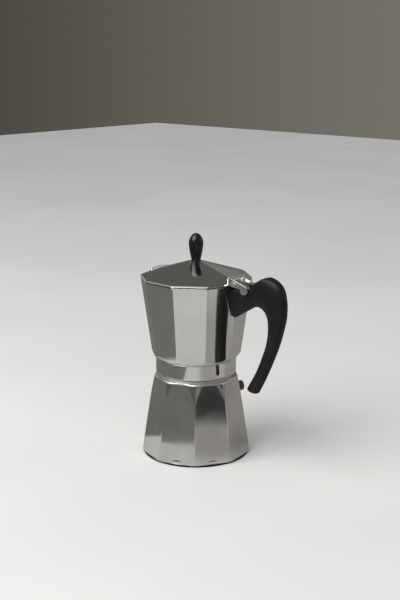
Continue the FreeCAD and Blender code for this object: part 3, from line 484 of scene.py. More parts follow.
# Painted shadow at the boiler's foot: black below a given height, where the pot meets the floor.
FOOT_SHADOW = (0.02, 0.018, 0.016, 1)
FOOT_SHADOW_EDGE = 0.0002
FOOT_SHADOW_ROUGH = 0.5
LATHE_EDGE = 0.0008
LATHE_ROUGH = 0.34


def add_bump(tree, height, strength, depth, normal=None):
    """Tilts the surface by a height pattern, on top of an earlier tilt where one is given."""
    sockets = {"Height": height, "Strength": strength, "Distance": depth}
    if normal is not None:
        sockets["Normal"] = normal
    return add_node(tree, "ShaderNodeBump", sockets).outputs[0]


def add_surface(tree, sockets):
    """Joins one shader with the given sockets to the material's output."""
    shader = add_node(tree, "ShaderNodeBsdfPrincipled", sockets)
    add_node(tree, "ShaderNodeOutputMaterial", {"Surface": shader.outputs[0]})


def metal(name, bright, dull, haze, wave, streak, shade_below=None, cut=None):
    """Polished metal. bright and dull are its two tones, haze its lowest and highest roughness. Below the
    height of the painted foot shadow it is painted black, for the shadow where it meets the floor; above
    the height cut it is left as the lathe cut it."""
    material, tree, place = new_material(name)
    patches = add_noise(tree, place, PATCHES, 3)
    streaks = add_noise(tree, place, STREAKS, 2, STREAK_STRETCH)
    waves = add_noise(tree, place, WAVES, 1)
    tone = add_colour_mix(tree, add_range(tree, patches, *PATCH_TONE), bright, dull)
    rough = add_range(tree, patches, *PATCH_ROUGH, *haze)
    rough = add_math(tree, "MULTIPLY_ADD", streaks, STREAK_ROUGH, rough)
    # Painted shadow: black below the given height, for the dark line where the pot meets the floor.
    if shade_below is not None:
        foot_shadow = add_range(tree, add_dot(tree, place, UP), shade_below + FOOT_SHADOW_EDGE, shade_below - FOOT_SHADOW_EDGE)
        tone = add_colour_mix(tree, foot_shadow, tone, FOOT_SHADOW)
        rough = add_math(tree, "MULTIPLY_ADD", foot_shadow, FOOT_SHADOW_ROUGH, rough)
    if cut is not None:
        lathe = add_range(tree, add_dot(tree, place, UP), cut - LATHE_EDGE, cut + LATHE_EDGE)
        rough = add_math(tree, "MULTIPLY_ADD", lathe, LATHE_ROUGH, rough)
    normal = add_bump(tree, waves, wave, WAVE_DEPTH)
    normal = add_bump(tree, streaks, streak, STREAK_DEPTH, normal)
    add_surface(tree, {"Base Color": tone, "Metallic": 1.0, "Roughness": rough, "Normal": normal})
    return material


polished = metal("polished_aluminium", (0.83, 0.82, 0.80, 1), (0.78, 0.77, 0.75, 1),
                 haze=(0.02, 0.07), wave=0.02, streak=0.02)
# The boiler is painted black below 1.8 mm as the shadow at its foot.
dulled = metal("dulled_aluminium", (0.78, 0.77, 0.75, 1), (0.70, 0.69, 0.67, 1),
               haze=(0.05, 0.09), wave=0.03, streak=0.04, shade_below=0.0018, cut=0.0772)
satin = metal("satin_aluminium", (0.72, 0.71, 0.70, 1), (0.64, 0.63, 0.62, 1),
              haze=(0.22, 0.32), wave=0.05, streak=0.1)
thin_sheet = metal("thin_aluminium", (0.74, 0.74, 0.73, 1), (0.66, 0.66, 0.65, 1),
                   haze=(0.28, 0.40), wave=0.1, streak=0.2)
steel = metal("plain_steel", (0.66, 0.66, 0.65, 1), (0.56, 0.56, 0.55, 1),
              haze=(0.18, 0.30), wave=0.05, streak=0.2)
brass = metal("darkened_brass", (0.15, 0.10, 0.065, 1), (0.06, 0.042, 0.03, 1),
              haze=(0.25, 0.45), wave=0.1, streak=0.2)
print("metals:", [finish.name for finish in (polished, dulled, satin, thin_sheet, steel, brass)])

# %% Black plastic and rubber
RUBBED_PATCHES = 45
SKIN_GRAINS = 1500
GRAIN_DEPTH = 0.0002
RUBBED_TONE = (0.4, 0.75)
RUBBED_ROUGH = (0.3, 0.7)


def moulded(name, colour, worn, haze, grain, shine):
    """Moulding: a tone that changes slightly where hands rub it, with a very fine grain in its skin."""
    material, tree, place = new_material(name)
    patches = add_noise(tree, place, RUBBED_PATCHES, 3)
    skin = add_noise(tree, place, SKIN_GRAINS, 2)
    tone = add_colour_mix(tree, add_range(tree, patches, *RUBBED_TONE), colour, worn)
    rough = add_range(tree, patches, *RUBBED_ROUGH, *haze)
    normal = add_bump(tree, skin, grain, GRAIN_DEPTH)
    sockets = {"Base Color": tone, "Roughness": rough, "Normal": normal, "Specular IOR Level": shine}
    add_surface(tree, sockets)
    return material


satin_black = moulded("satin_black", (0.005, 0.005, 0.0055, 1), (0.009, 0.009, 0.0095, 1),
                      haze=(0.42, 0.54), grain=0.12, shine=0.34)
gloss_black = moulded("gloss_black", (0.004, 0.004, 0.0045, 1), (0.007, 0.007, 0.0075, 1),
                      haze=(0.22, 0.30), grain=0.05, shine=0.45)
rubber = moulded("pale_rubber", (0.60, 0.57, 0.50, 1), (0.52, 0.49, 0.43, 1),
                 haze=(0.6, 0.75), grain=0.3, shine=0.4)
print("mouldings:", [finish.name for finish in (satin_black, gloss_black, rubber)])

# %% [markdown]
# ## Boiler
# The boiler is a turned cup with flat facets milled into its bulged wall. Where the bulge stands out
# past a facet's plane a strip of the round wall is left, wide at the foot and thin at the waist, and
# the facets end in arches under the shoulder. They stop short of a small ring and of the thin foot,
# which flares out to the wall. Cutting blocks from a solid would do it, but one formula does it too: at
# each angle the radius is the smaller of the round wall and the facet's plane, a / cos(angle from the
# facet's middle).

# %% Facets and thread
FACETS = 9
FACET_TURN = math.radians(10.8)
FACET_APOTHEM = 50.9
FACET_SLOPE = 0.145
THREAD_PITCH = 3.0
THREAD_DEPTH = 1.4
THREAD_LAPS = 2
THREAD_HALF = 0.8
THREAD_FLANK = 0.45
THREAD_RUN_OUT = 0.03


def facet_radius(turn, height):
    """Distance from the axis to the facet planes at this angle and height."""
    step = 2 * math.pi / FACETS
    off_middle = np.mod(turn - FACET_TURN + step / 2, step) - step / 2
    return (FACET_APOTHEM - FACET_SLOPE * height) / np.cos(off_middle)


def thread_height(turn, height, start, first_turn):
    """Height of a screw ridge above its cylinder: a trapezium across the ridge, whose middle climbs one
    pitch per turn for two turns, run out softly at both ends."""
    part = np.mod(turn - first_turn, 2 * math.pi) / (2 * math.pi)
    ridge = np.zeros(np.broadcast(turn, height).shape)
    for lap in range(THREAD_LAPS):
        centre = start + THREAD_PITCH * (part + lap)
        across = np.clip((THREAD_HALF - np.abs(height - centre)) / THREAD_FLANK, 0, 1)
        run = lap + part
        run_in = soft_step(run, 0, THREAD_RUN_OUT)
        run_out = soft_step(run, THREAD_LAPS - THREAD_RUN_OUT, THREAD_LAPS)
        ridge = np.maximum(ridge, across * run_in * (1 - run_out))
    return ridge * THREAD_DEPTH


print("facet", round(float(facet_radius(FACET_TURN, 0)), 2), "mm from the axis at the floor")

# %% Outline of the boiler
FOOT_RADIUS = 52.1
FOOT_TOP = 1.5
BASE_RADIUS = 53.4
BASE_TOP = 3.0
BULGE_RADIUS = 900
FINE_ROWS_TOP = 6.5
COARSE_ROWS = 6.9
WAIST = (43.6, 66.0)
SHOULDER_RADIUS = 190
SHOULDER = (41.2, 76.8)
CROWN_RADIUS = 2.8
CROWN = (39.6, 78.8)
NECK_RADIUS = 34.0
NECK_BOTTOM = 81.4
NECK_TOP = 89.6
NECK_ROWS = 34
FOOT_CORNERS = [(1.0, 0), (51.7, 0), (FOOT_RADIUS, 0.5), (FOOT_RADIUS, 1.4)]
SEAT_CORNERS = [(39.5, 78.85), (38.8, 79.0), (36.6, 79.0), (36.6, 80.6), (NECK_RADIUS, 80.6),
                (NECK_RADIUS, 81.2)]
INSIDE_CORNERS = [(NECK_RADIUS, 89.7), (NECK_RADIUS, 90.0), (31.2, 90.0), (31.2, 77.0), (40.0, 63.0),
                  (46.8, 10.0), (43.0, 3.6), (1.0, 3.6)]

foot = rounded(FOOT_CORNERS, 0.4, closed=False)
flare_turn = np.linspace(0, math.pi / 2, 24)
flare_radius = FOOT_RADIUS + (BASE_RADIUS - FOOT_RADIUS) * np.sin(flare_turn)
flare = np.stack([flare_radius, FOOT_TOP + (BASE_TOP - FOOT_TOP) * (1 - np.cos(flare_turn))], axis=1)
bulge = arc((BASE_RADIUS, BASE_TOP), WAIST, BULGE_RADIUS, 400)
fine_rows = np.linspace(BASE_TOP, FINE_ROWS_TOP, 36)
wall_height = np.concatenate([fine_rows, np.linspace(COARSE_ROWS, WAIST[1], 130)])
wall = np.stack([np.interp(wall_height, bulge[:, 1], bulge[:, 0]), wall_height], axis=1)
shoulder = arc(WAIST, SHOULDER, SHOULDER_RADIUS, 40)
crown = arc(SHOULDER, CROWN, CROWN_RADIUS, 24)
seat = rounded(SEAT_CORNERS, 0.3, steps=3, closed=False)
neck = np.stack([np.full(NECK_ROWS, NECK_RADIUS), np.linspace(NECK_BOTTOM, NECK_TOP, NECK_ROWS)], axis=1)
inside = rounded(INSIDE_CORNERS, 0.8, closed=False)
faceted_profile = np.concatenate([foot, flare, wall[1:], shoulder[1:], crown[1:]])
boiler_profile = np.concatenate([faceted_profile, seat, neck, inside])
print("outline of the boiler:", len(boiler_profile), "points")

# %% Boiler
BOILER_COLUMNS = 360
RING_RADIUS = 50.5
RING_TOP = 4.2
RING_SLOPE = 0.34
RING_EASE = 0.03
LEDGE_SLOPE = 4.0
LEDGE_EASE = 0.06
CREASE = 0.1
CREASE_GAIN = 0.2
CREASE_RISE = (60.0, 74.0)
NECK_THREAD = 82.4

turn = full_turn(BOILER_COLUMNS)
radius, height = profile_grid(boiler_profile, turn)
ring_radius = RING_RADIUS - np.maximum(height - RING_TOP, 0) * RING_SLOPE
ledge_radius = FOOT_RADIUS - (height - FOOT_TOP) * LEDGE_SLOPE
cut_radius = soft_max(facet_radius(turn, height), ring_radius, RING_EASE)
cut_radius = soft_max(cut_radius, ledge_radius, LEDGE_EASE)
crease = CREASE + CREASE_GAIN * soft_step(height, *CREASE_RISE)
is_faceted = np.arange(len(boiler_profile))[:, None] < len(faceted_profile)
radius = np.where(is_faceted, soft_min(radius, cut_radius, crease), radius)
on_neck = (radius == NECK_RADIUS) & (height >= NECK_BOTTOM)
radius = np.where(on_neck, radius + thread_height(turn, height, NECK_THREAD, FACET_TURN), radius)
boiler_shape = closed_grid(turned(radius, turn, height))
add_piece("boiler_shell", boiler_shape, dulled, "boiler_base", "boiler")

# %% [markdown]
# ## Upper pot
# The upper pot is one casting: a round threaded collar, a ten-sided body that widens upward, a corner
# drawn out into the pouring beak and the opposite corner planed flat for the handle. It could be pulled
# from a cylinder by hand. Here it is one stack of outlines that goes up the outside, over the rim, down
# the inside, through the hole for the riser and out under the collar, until it meets itself.

# %% Outlines of the upper pot
TENTH = math.radians(36)
HALF_TENTH = math.radians(18)
POT_BOTTOM = 97.2
POT_RIM = 174.6
POT_CORNER = 43.2
RIM_CORNER = 54.3
POT_RISE = (RIM_CORNER - POT_CORNER) / (POT_RIM - POT_BOTTOM)
POT_WALL = 2.8
HANDLE_FLAT = 49.0
BARELY_FLAT = 0.2
BEAK_OUTSIDE = {"low": 134.0, "high": POT_RIM, "tip": 60.0, "root": 48.0, "half": 13.0}
BEAK_INSIDE = {"low": 140.0, "high": POT_RIM + 2, "tip": 56.1, "root": 44.1, "half": 11.0}
BEAK_START_DEPTH = 3.9
BEAK_START_HALF = 2.8
CROSSING_LIMITS = (0.03, 0.6)
CORNER_REACH = np.array([0.9] * 5 + [2.0, 1.4, 2.0] + [0.9] * 5)


def side_corners(corner):
    """The four corners of a regular ten-sided outline on one side, between its hinge corner and its
    beak corner."""
    return [(corner * math.cos(TENTH * k), corner * math.sin(TENTH * k)) for k in range(1, 5)]


def mirrored(upper, middle=()):
    """Closed outlines from the corners of one side, those in the middle, and the same side mirrored."""
    points = [*upper, *middle, *[(x, -y) for x, y in reversed(upper)]]
    return np.stack([np.stack(point, axis=-1) for point in points], axis=-2)


def at_heights(outlines, heights):
    """Lifts each flat outline to its height."""
    level = np.repeat(heights, outlines.shape[1]).reshape(*outlines.shape[:2], 1)
    return np.concatenate([outlines, level], axis=-1)


def pot_outline(height, outside):
    """Rounded outlines with thirteen corners: two at the planed corner, three at the beak and one at
    each other corner. The beak's side is the straight line from its tip to its root, and it leaves the
    body where it crosses the facet."""
    inset = 0 if outside else POT_WALL / math.cos(HALF_TENTH)
    corner = POT_CORNER + POT_RISE * (height - POT_BOTTOM) - inset
    flat = np.minimum(corner - BARELY_FLAT, HANDLE_FLAT if outside else HANDLE_FLAT - POT_WALL)
    half_flat = (corner - flat) / math.tan(HALF_TENTH)
    beak = BEAK_OUTSIDE if outside else BEAK_INSIDE
    share = np.clip((height - beak["low"]) / (beak["high"] - beak["low"]), 0, None)
    start = POT_CORNER + POT_RISE * (beak["low"] - POT_BOTTOM) - inset
    tip = np.maximum(start + (beak["tip"] - start) * share, corner)
    root = start - BEAK_START_DEPTH + (beak["root"] - start + BEAK_START_DEPTH) * share
    half_root = BEAK_START_HALF + (beak["half"] - BEAK_START_HALF) * share
    facet_out, facet_side = (1 - math.cos(TENTH)) * corner, math.sin(TENTH) * corner
    crossing = (tip - corner) * half_root / (facet_side * (tip - root) - facet_out * half_root)
    crossing = np.clip(crossing, *CROSSING_LIMITS)
    beak_side = (-corner + crossing * facet_out, crossing * facet_side)
    upper = [(flat, half_flat), *side_corners(corner), beak_side]
    corners = mirrored(upper, [(-tip, np.zeros_like(tip))])
    return rounded(corners, CORNER_REACH, steps=4, between=9)


sample = pot_outline(np.array([104.0]), True)[0]
pot_turn = np.arctan2(sample[:, 1], sample[:, 0])
print("columns of the upper pot:", len(pot_turn))

# %% Outside, rim and inside of the upper pot
CONE_FOOT = 39.6
CONE_END = 104
CONE_EASE = 0.22
CONE_ROWS_TOP = 102.4
BODY_ROWS = (103.4, 174.0)
INSIDE_ROWS = (173.4, 102.0)
RIM_DROP = 0.6

cone_heights = np.linspace(POT_BOTTOM, CONE_ROWS_TOP, 40)
outside_heights = np.concatenate([cone_heights, np.linspace(*BODY_ROWS, 60)])
outside = pot_outline(outside_heights, True)
reach = np.linalg.norm(outside, axis=-1)
cone = CONE_FOOT + (outside_heights - POT_BOTTOM)[:, None]
drawn_in = np.where(outside_heights[:, None] < CONE_END, soft_min(reach, cone, CONE_EASE) / reach, 1.0)
outside_rows = at_heights(outside * drawn_in[..., None], outside_heights)

edge_share = np.array([0, 0.03, 0.1, 0.22, 0.35])
edge_drop = np.array([0.75, 0.4, 0.15, 0.02, 0])
rim_share = np.concatenate([edge_share, 1 - edge_share[::-1]])[:, None, None]
rim_heights = POT_RIM - RIM_DROP * np.concatenate([edge_drop, edge_drop[::-1]])
rim_outside = pot_outline(rim_heights, True)
rim_inside = pot_outline(rim_heights, False)
rim_rows = at_heights(rim_outside + rim_share * (rim_inside - rim_outside), rim_heights)

inside_heights = np.linspace(*INSIDE_ROWS, 50)
inside_rows = at_heights(pot_outline(inside_heights, False), inside_heights)
print("beak reaches", round(-float(outside_rows[..., 0].min()), 1), "mm from the axis")

# %% Floor and collar of the upper pot
BORE_RADIUS = 36.0
BORE_TOP = 91.0
BORE_BOTTOM = 82.2
BORE_ROWS = 36
BORE_THREAD = 83.81
FLOOR_EDGE = (37.6, 100.7)
FLOOR_CORNERS = [(30.0, 100.6), (24.0, 100.6), (9.0, 107.0), (6.0, 107.0), (6.0, 102.9), (27.0, 95.9),
                 (31.4, 95.9), (31.4, 94.9), (34.9, 94.9), (34.9, 91.2), (BORE_RADIUS, 91.2),
                 (BORE_RADIUS, 91.1)]
COLLAR_CORNERS = [(BORE_RADIUS, 82.1), (BORE_RADIUS, 81.6), (38.4, 81.6), (39.2, 82.4), (39.2, 96.4),
                  (38.6, 96.5), (38.6, 97.1), (39.3, POT_BOTTOM)]

bore = np.stack([np.full(BORE_ROWS, BORE_RADIUS), np.linspace(BORE_TOP, BORE_BOTTOM, BORE_ROWS)], axis=1)
under_profile = np.concatenate([
    [FLOOR_EDGE],
    rounded(FLOOR_CORNERS, 0.6, steps=3, closed=False),
    bore,
    rounded(COLLAR_CORNERS, 0.35, steps=3, closed=False),
])
turn = pot_turn[None, :]
radius, height = profile_grid(under_profile, turn)
on_bore = (radius == BORE_RADIUS) & (height <= BORE_TOP) & (height >= BORE_BOTTOM)
radius = np.where(on_bore, radius - thread_height(turn, height, BORE_THREAD, 0.0), radius)
under_rows = turned(radius, turn, height)
pot_grid = closed_grid(np.concatenate([outside_rows, rim_rows, inside_rows, under_rows]), loop=True)
print("upper pot without its lug:", len(pot_grid[1]), "faces")

# %% Upper pot with the handle's lug
SIDE_VIEW = (0, 2, 1)
FRONT_VIEW = (1, 2, 0)
LUG_LOW = (47.2, 155.0)
LUG_HIGH = (61.0, 168.0)
LUG_HALF = 3.2


def slab(outline, low, high, edge, axes):
    """Flat plate between two heights. Its outline is drawn in along a quarter circle of radius `edge`
    at both faces. axes says which of X, Y, Z the outline's two numbers and the height are."""
    area = np.sum(outline[:, 0] * np.roll(outline[:, 1], -1) - np.roll(outline[:, 0], -1) * outline[:, 1])
    parity = 1 if axes in ((0, 1, 2), (1, 2, 0), (2, 0, 1)) else -1
    outline = outline if area * parity > 0 else outline[::-1]
    run = np.roll(outline, -1, axis=0) - np.roll(outline, 1, axis=0)
    run = run / np.linalg.norm(run, axis=1)[:, None]
    outward = np.stack([run[:, 1], -run[:, 0]], axis=1) * parity
    bend = np.linspace(0, math.pi / 2, 5)
    inward = edge * (1 - np.sin(bend))
    lift = edge * (1 - np.cos(bend))
    inward = np.concatenate([inward, inward[::-1]])
    level = np.concatenate([low + lift, (high - lift)[::-1]])
    flat = outline[None] - inward[:, None, None] * outward[None]
    rows = np.zeros((len(level), len(outline), 3))
    rows[..., axes[0]] = flat[..., 0]
    rows[..., axes[1]] = flat[..., 1]
    rows[..., axes[2]] = level[:, None]
    return closed_grid(rows)


def box_outline(low, high, reach):
    """Rectangle between two corners, rounded."""
    return rounded([low, (high[0], low[1]), high, (low[0], high[1])], reach)


lug = slab(box_outline(LUG_LOW, LUG_HIGH, 0.8), -LUG_HALF, LUG_HALF, 0.4, SIDE_VIEW)
add_piece("upper_pot", joined(pot_grid, lug), polished, "serving_pot", "collector")

# %% [markdown]
# ## Lid
# The lid is a low ten-sided roof with a bevelled rim, cut straight at the beak and at the hinge. At the
# beak a small ridge stands on its edge as a lip, and at the hinge a tab stands up to take the rivets. A
# cone cut by planes would do for the roof, but not for its bevel and hole. So it is again a stack of
# outlines: up the bevel, up the roof to the knob, through the knob's hole and back down inside. The lip
# and the tab are small grids of their own.

# %% Roof of the lid
LID_CORNER = 54.5
LID_BOTTOM = 175.3
BEVEL_BOTTOM = 175.9
BEVEL_TOP = (53.3, 176.8)
PEAK_RADIUS = 5.2
PEAK = 191.6
ROOF_SLOPE = (PEAK - BEVEL_TOP[1]) / (BEVEL_TOP[0] - PEAK_RADIUS)
UNDER_CORNER = 51.7
UNDER_PEAK = 189.7
UNDER_LID_SLOPE = (UNDER_PEAK - LID_BOTTOM) / (UNDER_CORNER - PEAK_RADIUS)
LID_CORNERS = [(51.9, LID_BOTTOM), (LID_CORNER, LID_BOTTOM), (LID_CORNER, BEVEL_BOTTOM), BEVEL_TOP,
               (PEAK_RADIUS, PEAK)]
HOLE_RADIUS = 2.1
HINGE_CUT = 50.3
BEAK_CUT = 50.4
RIM_WIDTH = 2.8
CUT_BARELY = 0.05
CORNER_ROUND = 1.6


def lid_rows(profile, cut_back):
    """Outlines for a profile of corner radius and height: a regular ten-sided outline whose corners at
    the hinge and the beak are cut by two upright planes as long as the outline reaches them."""
    corner, level = profile[:, 0], profile[:, 1]
    hinge = np.minimum(HINGE_CUT - cut_back, corner - CUT_BARELY)
    beak = np.minimum(BEAK_CUT - cut_back, corner - CUT_BARELY)
    hinge_corner = (hinge, (corner - hinge) / math.tan(HALF_TENTH))
    beak_corner = (-beak, (corner - beak) / math.tan(HALF_TENTH))
    corners = mirrored([hinge_corner, *side_corners(corner), beak_corner])
    outline = rounded(corners, CORNER_ROUND * corner[:, None] / LID_CORNER, steps=4, between=2)
    return at_heights(outline, level)


def roof(radius, peak, slope):
    """Profile that falls evenly from the peak."""
    return np.stack([radius, peak - (radius - PEAK_RADIUS) * slope], axis=1)


rim_profile = rounded(LID_CORNERS, 0.28, steps=4, closed=False)[:-1]
# Rows lie closer together where the two planes cut the corners.
roof_radius = np.concatenate([np.linspace(52.6, 50.0, 14), np.linspace(46.0, PEAK_RADIUS, 12)])
under_radius = np.concatenate([np.linspace(PEAK_RADIUS, 46.0, 10), np.linspace(47.0, UNDER_CORNER, 12)])
roof_rows = lid_rows(np.concatenate([rim_profile, roof(roof_radius, PEAK, ROOF_SLOPE)]), 0.0)
under_lid_rows = lid_rows(roof(under_radius, UNDER_PEAK, UNDER_LID_SLOPE), RIM_WIDTH)
turn = np.arctan2(roof_rows[-1, :, 1], roof_rows[-1, :, 0])[None, :]
radius, height = profile_grid(np.array([(HOLE_RADIUS, PEAK), (HOLE_RADIUS, UNDER_PEAK)]), turn)
hole_rows = turned(radius, turn, height)
lid_grid = closed_grid(np.concatenate([roof_rows, hole_rows, under_lid_rows]), loop=True)
print("roof of the lid:", len(lid_grid[1]), "faces")

# %% Lid with its lip and tab
LIP_HALF = 12.4
LIP_BOTTOM = 177.2
LIP_CLIMB = 0.1
LIP_BEND = 1.0
LIP_FADE = (-1.2, 1.6)
LIP_CORNERS = [(-47.0, -1.2), (-47.2, -0.3), (-48.2, 1.5), (-48.9, 1.6), (-50.3, -0.2), (-50.3, -1.2)]
TAB_LOW = (-11.4, 175.5)
TAB_HIGH = (11.4, 183.8)
TAB_INNER = 49.3
TAB_OUTER = 51.3

lip_profile = rounded(LIP_CORNERS, 0.3)
along = np.linspace(-LIP_HALF, LIP_HALF, 49)[:, None]
lip_rise = LIP_BOTTOM + (LIP_HALF - np.sqrt(along**2 + LIP_BEND)) * LIP_CLIMB
lip_fade = soft_step(LIP_HALF - np.abs(along), *LIP_FADE)
lip_rows = np.zeros((len(along), len(lip_profile), 3))
lip_rows[..., 0] = lip_profile[:, 0]
lip_rows[..., 1] = along
lip_rows[..., 2] = lip_rise + lip_profile[:, 1] * lip_fade
tab = slab(box_outline(TAB_LOW, TAB_HIGH, 1.2), TAB_INNER, TAB_OUTER, 0.45, FRONT_VIEW)
lid_shape = joined(lid_grid, closed_grid(lip_rows), tab)
add_piece("lid_shell", lid_shape, polished, "lid_group", "lid")

# %% [markdown]
# ## Knob
# The knob is a turned bulb of hard black plastic with a waist where it meets the lid. It could be a
# stretched sphere, but that has no waist. So a profile of three arcs is carried round the axis, and the
# last arc has its centre on the axis so that the crown closes without a point.

# %% Knob
KNOB_COLUMNS = 72
KNOB_FOOT = [(1.95, 191.66), (4.2, 191.66), (4.5, 192.0), (4.53, 192.6)]
KNOB_WAIST = (4.56, 193.2)
KNOB_WIDEST = (7.0, 206.8)
KNOB_NECK = (4.6, 215.3)
KNOB_TOP = (0.05, 218.0)
knob_profile = np.concatenate([
    rounded(KNOB_FOOT, 0.3, closed=False),
    arc(KNOB_WAIST, KNOB_WIDEST, 90, 30)[1:],
    arc(KNOB_WIDEST, KNOB_NECK, 11.4, 26)[1:],
    arc(KNOB_NECK, KNOB_TOP, 5.268, 18)[1:],
])
turn = full_turn(KNOB_COLUMNS)
radius, height = profile_grid(knob_profile, turn)
knob_shape = closed_grid(turned(radius, turn, height))
add_piece("knob_bulb", knob_shape, gloss_black, "lid_group", "knob")

# %% [markdown]
# ## Hinge arm
# A cast arm joins the lid's tab to the handle. Seen from the side it is a wedge that ends in a round
# knuckle, and a slot divides it into two ears. Its top is sunk a little between two thin rims. Cutting
# slot and recess from a block would leave sharp edges. So the side view is drawn once, with the arc of
# the knuckle, and made into slabs of different widths: the rims, the sunk ears and the root between
# them.

# %% Side view of the hinge arm
HINGE = np.array([66.5, 173.0])
KNUCKLE = 4.4
ARM_ROOT = 51.35
ARM_TOP = 182.0
ARM_BOTTOM = 174.4
KNUCKLE_BOTTOM = 173.5

top_run, top_rise = ARM_ROOT - HINGE[0], ARM_TOP - HINGE[1]
arm_tangent = math.atan2(top_rise, top_run) - math.acos(KNUCKLE / math.hypot(top_run, top_rise))
knuckle_start = math.pi - math.asin((KNUCKLE_BOTTOM - HINGE[1]) / KNUCKLE)
knuckle = on_circle(HINGE, KNUCKLE, np.linspace(knuckle_start, arm_tangent + 2 * math.pi, 40))
root_corners = [knuckle[-1], (ARM_ROOT, ARM_TOP), (ARM_ROOT, ARM_BOTTOM), knuckle[0]]
arm_side = np.concatenate([rounded(root_corners, 0.7, closed=False)[1:-1], knuckle])
top_slope = (knuckle[-1][1] - ARM_TOP) / (knuckle[-1][0] - ARM_ROOT)
print("top of the hinge arm falls", round(math.degrees(math.atan(-top_slope)), 1), "degrees")

# %% Hinge arm
RECESS = 1.3
RECESS_START = (52.4, 53.0)
RECESS_END = (61.6, 63.0)
ROOT_END = 59.0
ROOT_BOTTOM = 173.9
ROOT_HALF = 4.2
EAR_INNER = 3.6
EAR_OUTER = 7.3
RIM_INNER = 7.1
RIM_OUTER = 8.26


def arm_top(out):
    """Height of the arm's sloping top edge."""
    return ARM_TOP + top_slope * (out - ARM_ROOT)


def on_both_sides(outline, inner, outer, edge):
    """Two equal slabs, one on each side of the middle."""
    return [slab(outline, low, high, edge, SIDE_VIEW) for low, high in ((-outer, -inner), (inner, outer))]


top_out = np.linspace(knuckle[-1][0], ARM_ROOT + 1.0, 50)[1:]
ear_side = np.concatenate([np.stack([top_out, arm_top(top_out)], axis=1), arm_side])
ear_out = ear_side[:, 0]
sunk = RECESS * soft_step(ear_out, *RECESS_START) * (1 - soft_step(ear_out, *RECESS_END))
ear_side[:, 1] = np.minimum(ear_side[:, 1], arm_top(ear_out) - sunk)
sunk_from, sunk_at = RECESS_START
root_side = rounded([
    (ARM_ROOT, ARM_TOP), (ARM_ROOT, ARM_BOTTOM), (ROOT_END, ROOT_BOTTOM),
    (ROOT_END, arm_top(ROOT_END) - RECESS), (sunk_at, arm_top(sunk_at) - RECESS),
    (sunk_from, arm_top(sunk_from)),
], 0.3)
rims = on_both_sides(arm_side, RIM_INNER, RIM_OUTER, 0.3)
ears = on_both_sides(ear_side, EAR_INNER, EAR_OUTER, 0.1)
root = slab(root_side, -ROOT_HALF, ROOT_HALF, 0.1, SIDE_VIEW)
add_piece("hinge_arm", joined(*rims, *ears, root), satin, "lid_group", "hinge_leaf")

# %% [markdown]
# ## Handle
# The handle is one moulding: a bracket behind the pot, a broad head and a hook that thins towards its
# tip. A curve with a round bevel would make the hook, but not the flat bracket. So the side view is
# given by two lines, the outer and the inner edge, and at each step a closed curve joins them: a
# superellipse, nearly a box on the bracket and nearly an oval on the hook. The notch for the hinge
# knuckle is part of the outer edge.

# %% Edges of the hook
HOOK_ROWS = 90
# Each row holds the outer edge, the inner edge and half the width.
HOOK = np.array([
    (77.3, 181.5, 72.7, 157.6, 7.4), (89.6, 187.3, 80.6, 158.4, 7.4), (107.2, 178.3, 86.7, 154.6, 7.3),
    (110.2, 166.6, 87.9, 153.0, 7.2), (110.2, 154.9, 89.9, 149.9, 7.0), (106.8, 138.9, 91.4, 141.1, 6.6),
    (102.2, 124.0, 90.1, 127.8, 6.1), (95.3, 107.2, 84.5, 111.6, 5.55), (87.2, 89.8, 76.9, 94.6, 5.3),
    (79.8, 76.1, 67.4, 78.7, 5.4),
])


def through(points, count):
    """Smooth line through points: cubic pieces whose slope at a point is that of the line between its
    neighbours, read at even steps of the distance along the points."""
    distance = np.concatenate([[0], np.cumsum(np.linalg.norm(np.diff(points[:, :2], axis=0), axis=1))])
    slope = np.gradient(points, distance, axis=0)
    at = np.linspace(0, distance[-1], count)
    piece = np.clip(np.searchsorted(distance, at, side="right") - 1, 0, len(points) - 2)
    span = (distance[piece + 1] - distance[piece])[:, None]
    t = ((at - distance[piece])[:, None]) / span
    start, end = points[piece], points[piece + 1]
    return ((1 + 2 * t) * (1 - t) ** 2 * start + t * (1 - t) ** 2 * span * slope[piece]
            + t**2 * (3 - 2 * t) * end + t**2 * (t - 1) * span * slope[piece + 1])


hook_middle = (HOOK[:, :2] + HOOK[:, 2:4]) / 2
hook_sections = through(np.concatenate([hook_middle, HOOK], axis=1), HOOK_ROWS)
hook_outer, hook_inner, hook_width = hook_sections[:, 2:4], hook_sections[:, 4:6], hook_sections[:, 6]
print("hook:", HOOK_ROWS, "sections")

# %% Edges of the bracket
BRACKET_FACE = 49.1
SHELF = 172.6
NOTCH = 5.0
LID_SWING = math.radians(100)
HEEL = np.array([51.3, 144.0])
HEEL_SLOPE = 0.67
HOOK_START = (74.0, 157.6)
UNDER_SLOPE = (HOOK_START[1] - HEEL[1]) / (HOOK_START[0] - HEEL[0])
UNDER_NOTCH = (61.6, 70.5)
UNDER_STOP = 2.2


def underside(out):
    """Height of the bracket's lower edge: a short rise at the heel's back, then straight up to the
    hook."""
    behind = HEEL[1] + (HEEL[0] - out) * HEEL_SLOPE
    return np.where(out < HEEL[0], behind, HEEL[1] + (out - HEEL[0]) * UNDER_SLOPE)


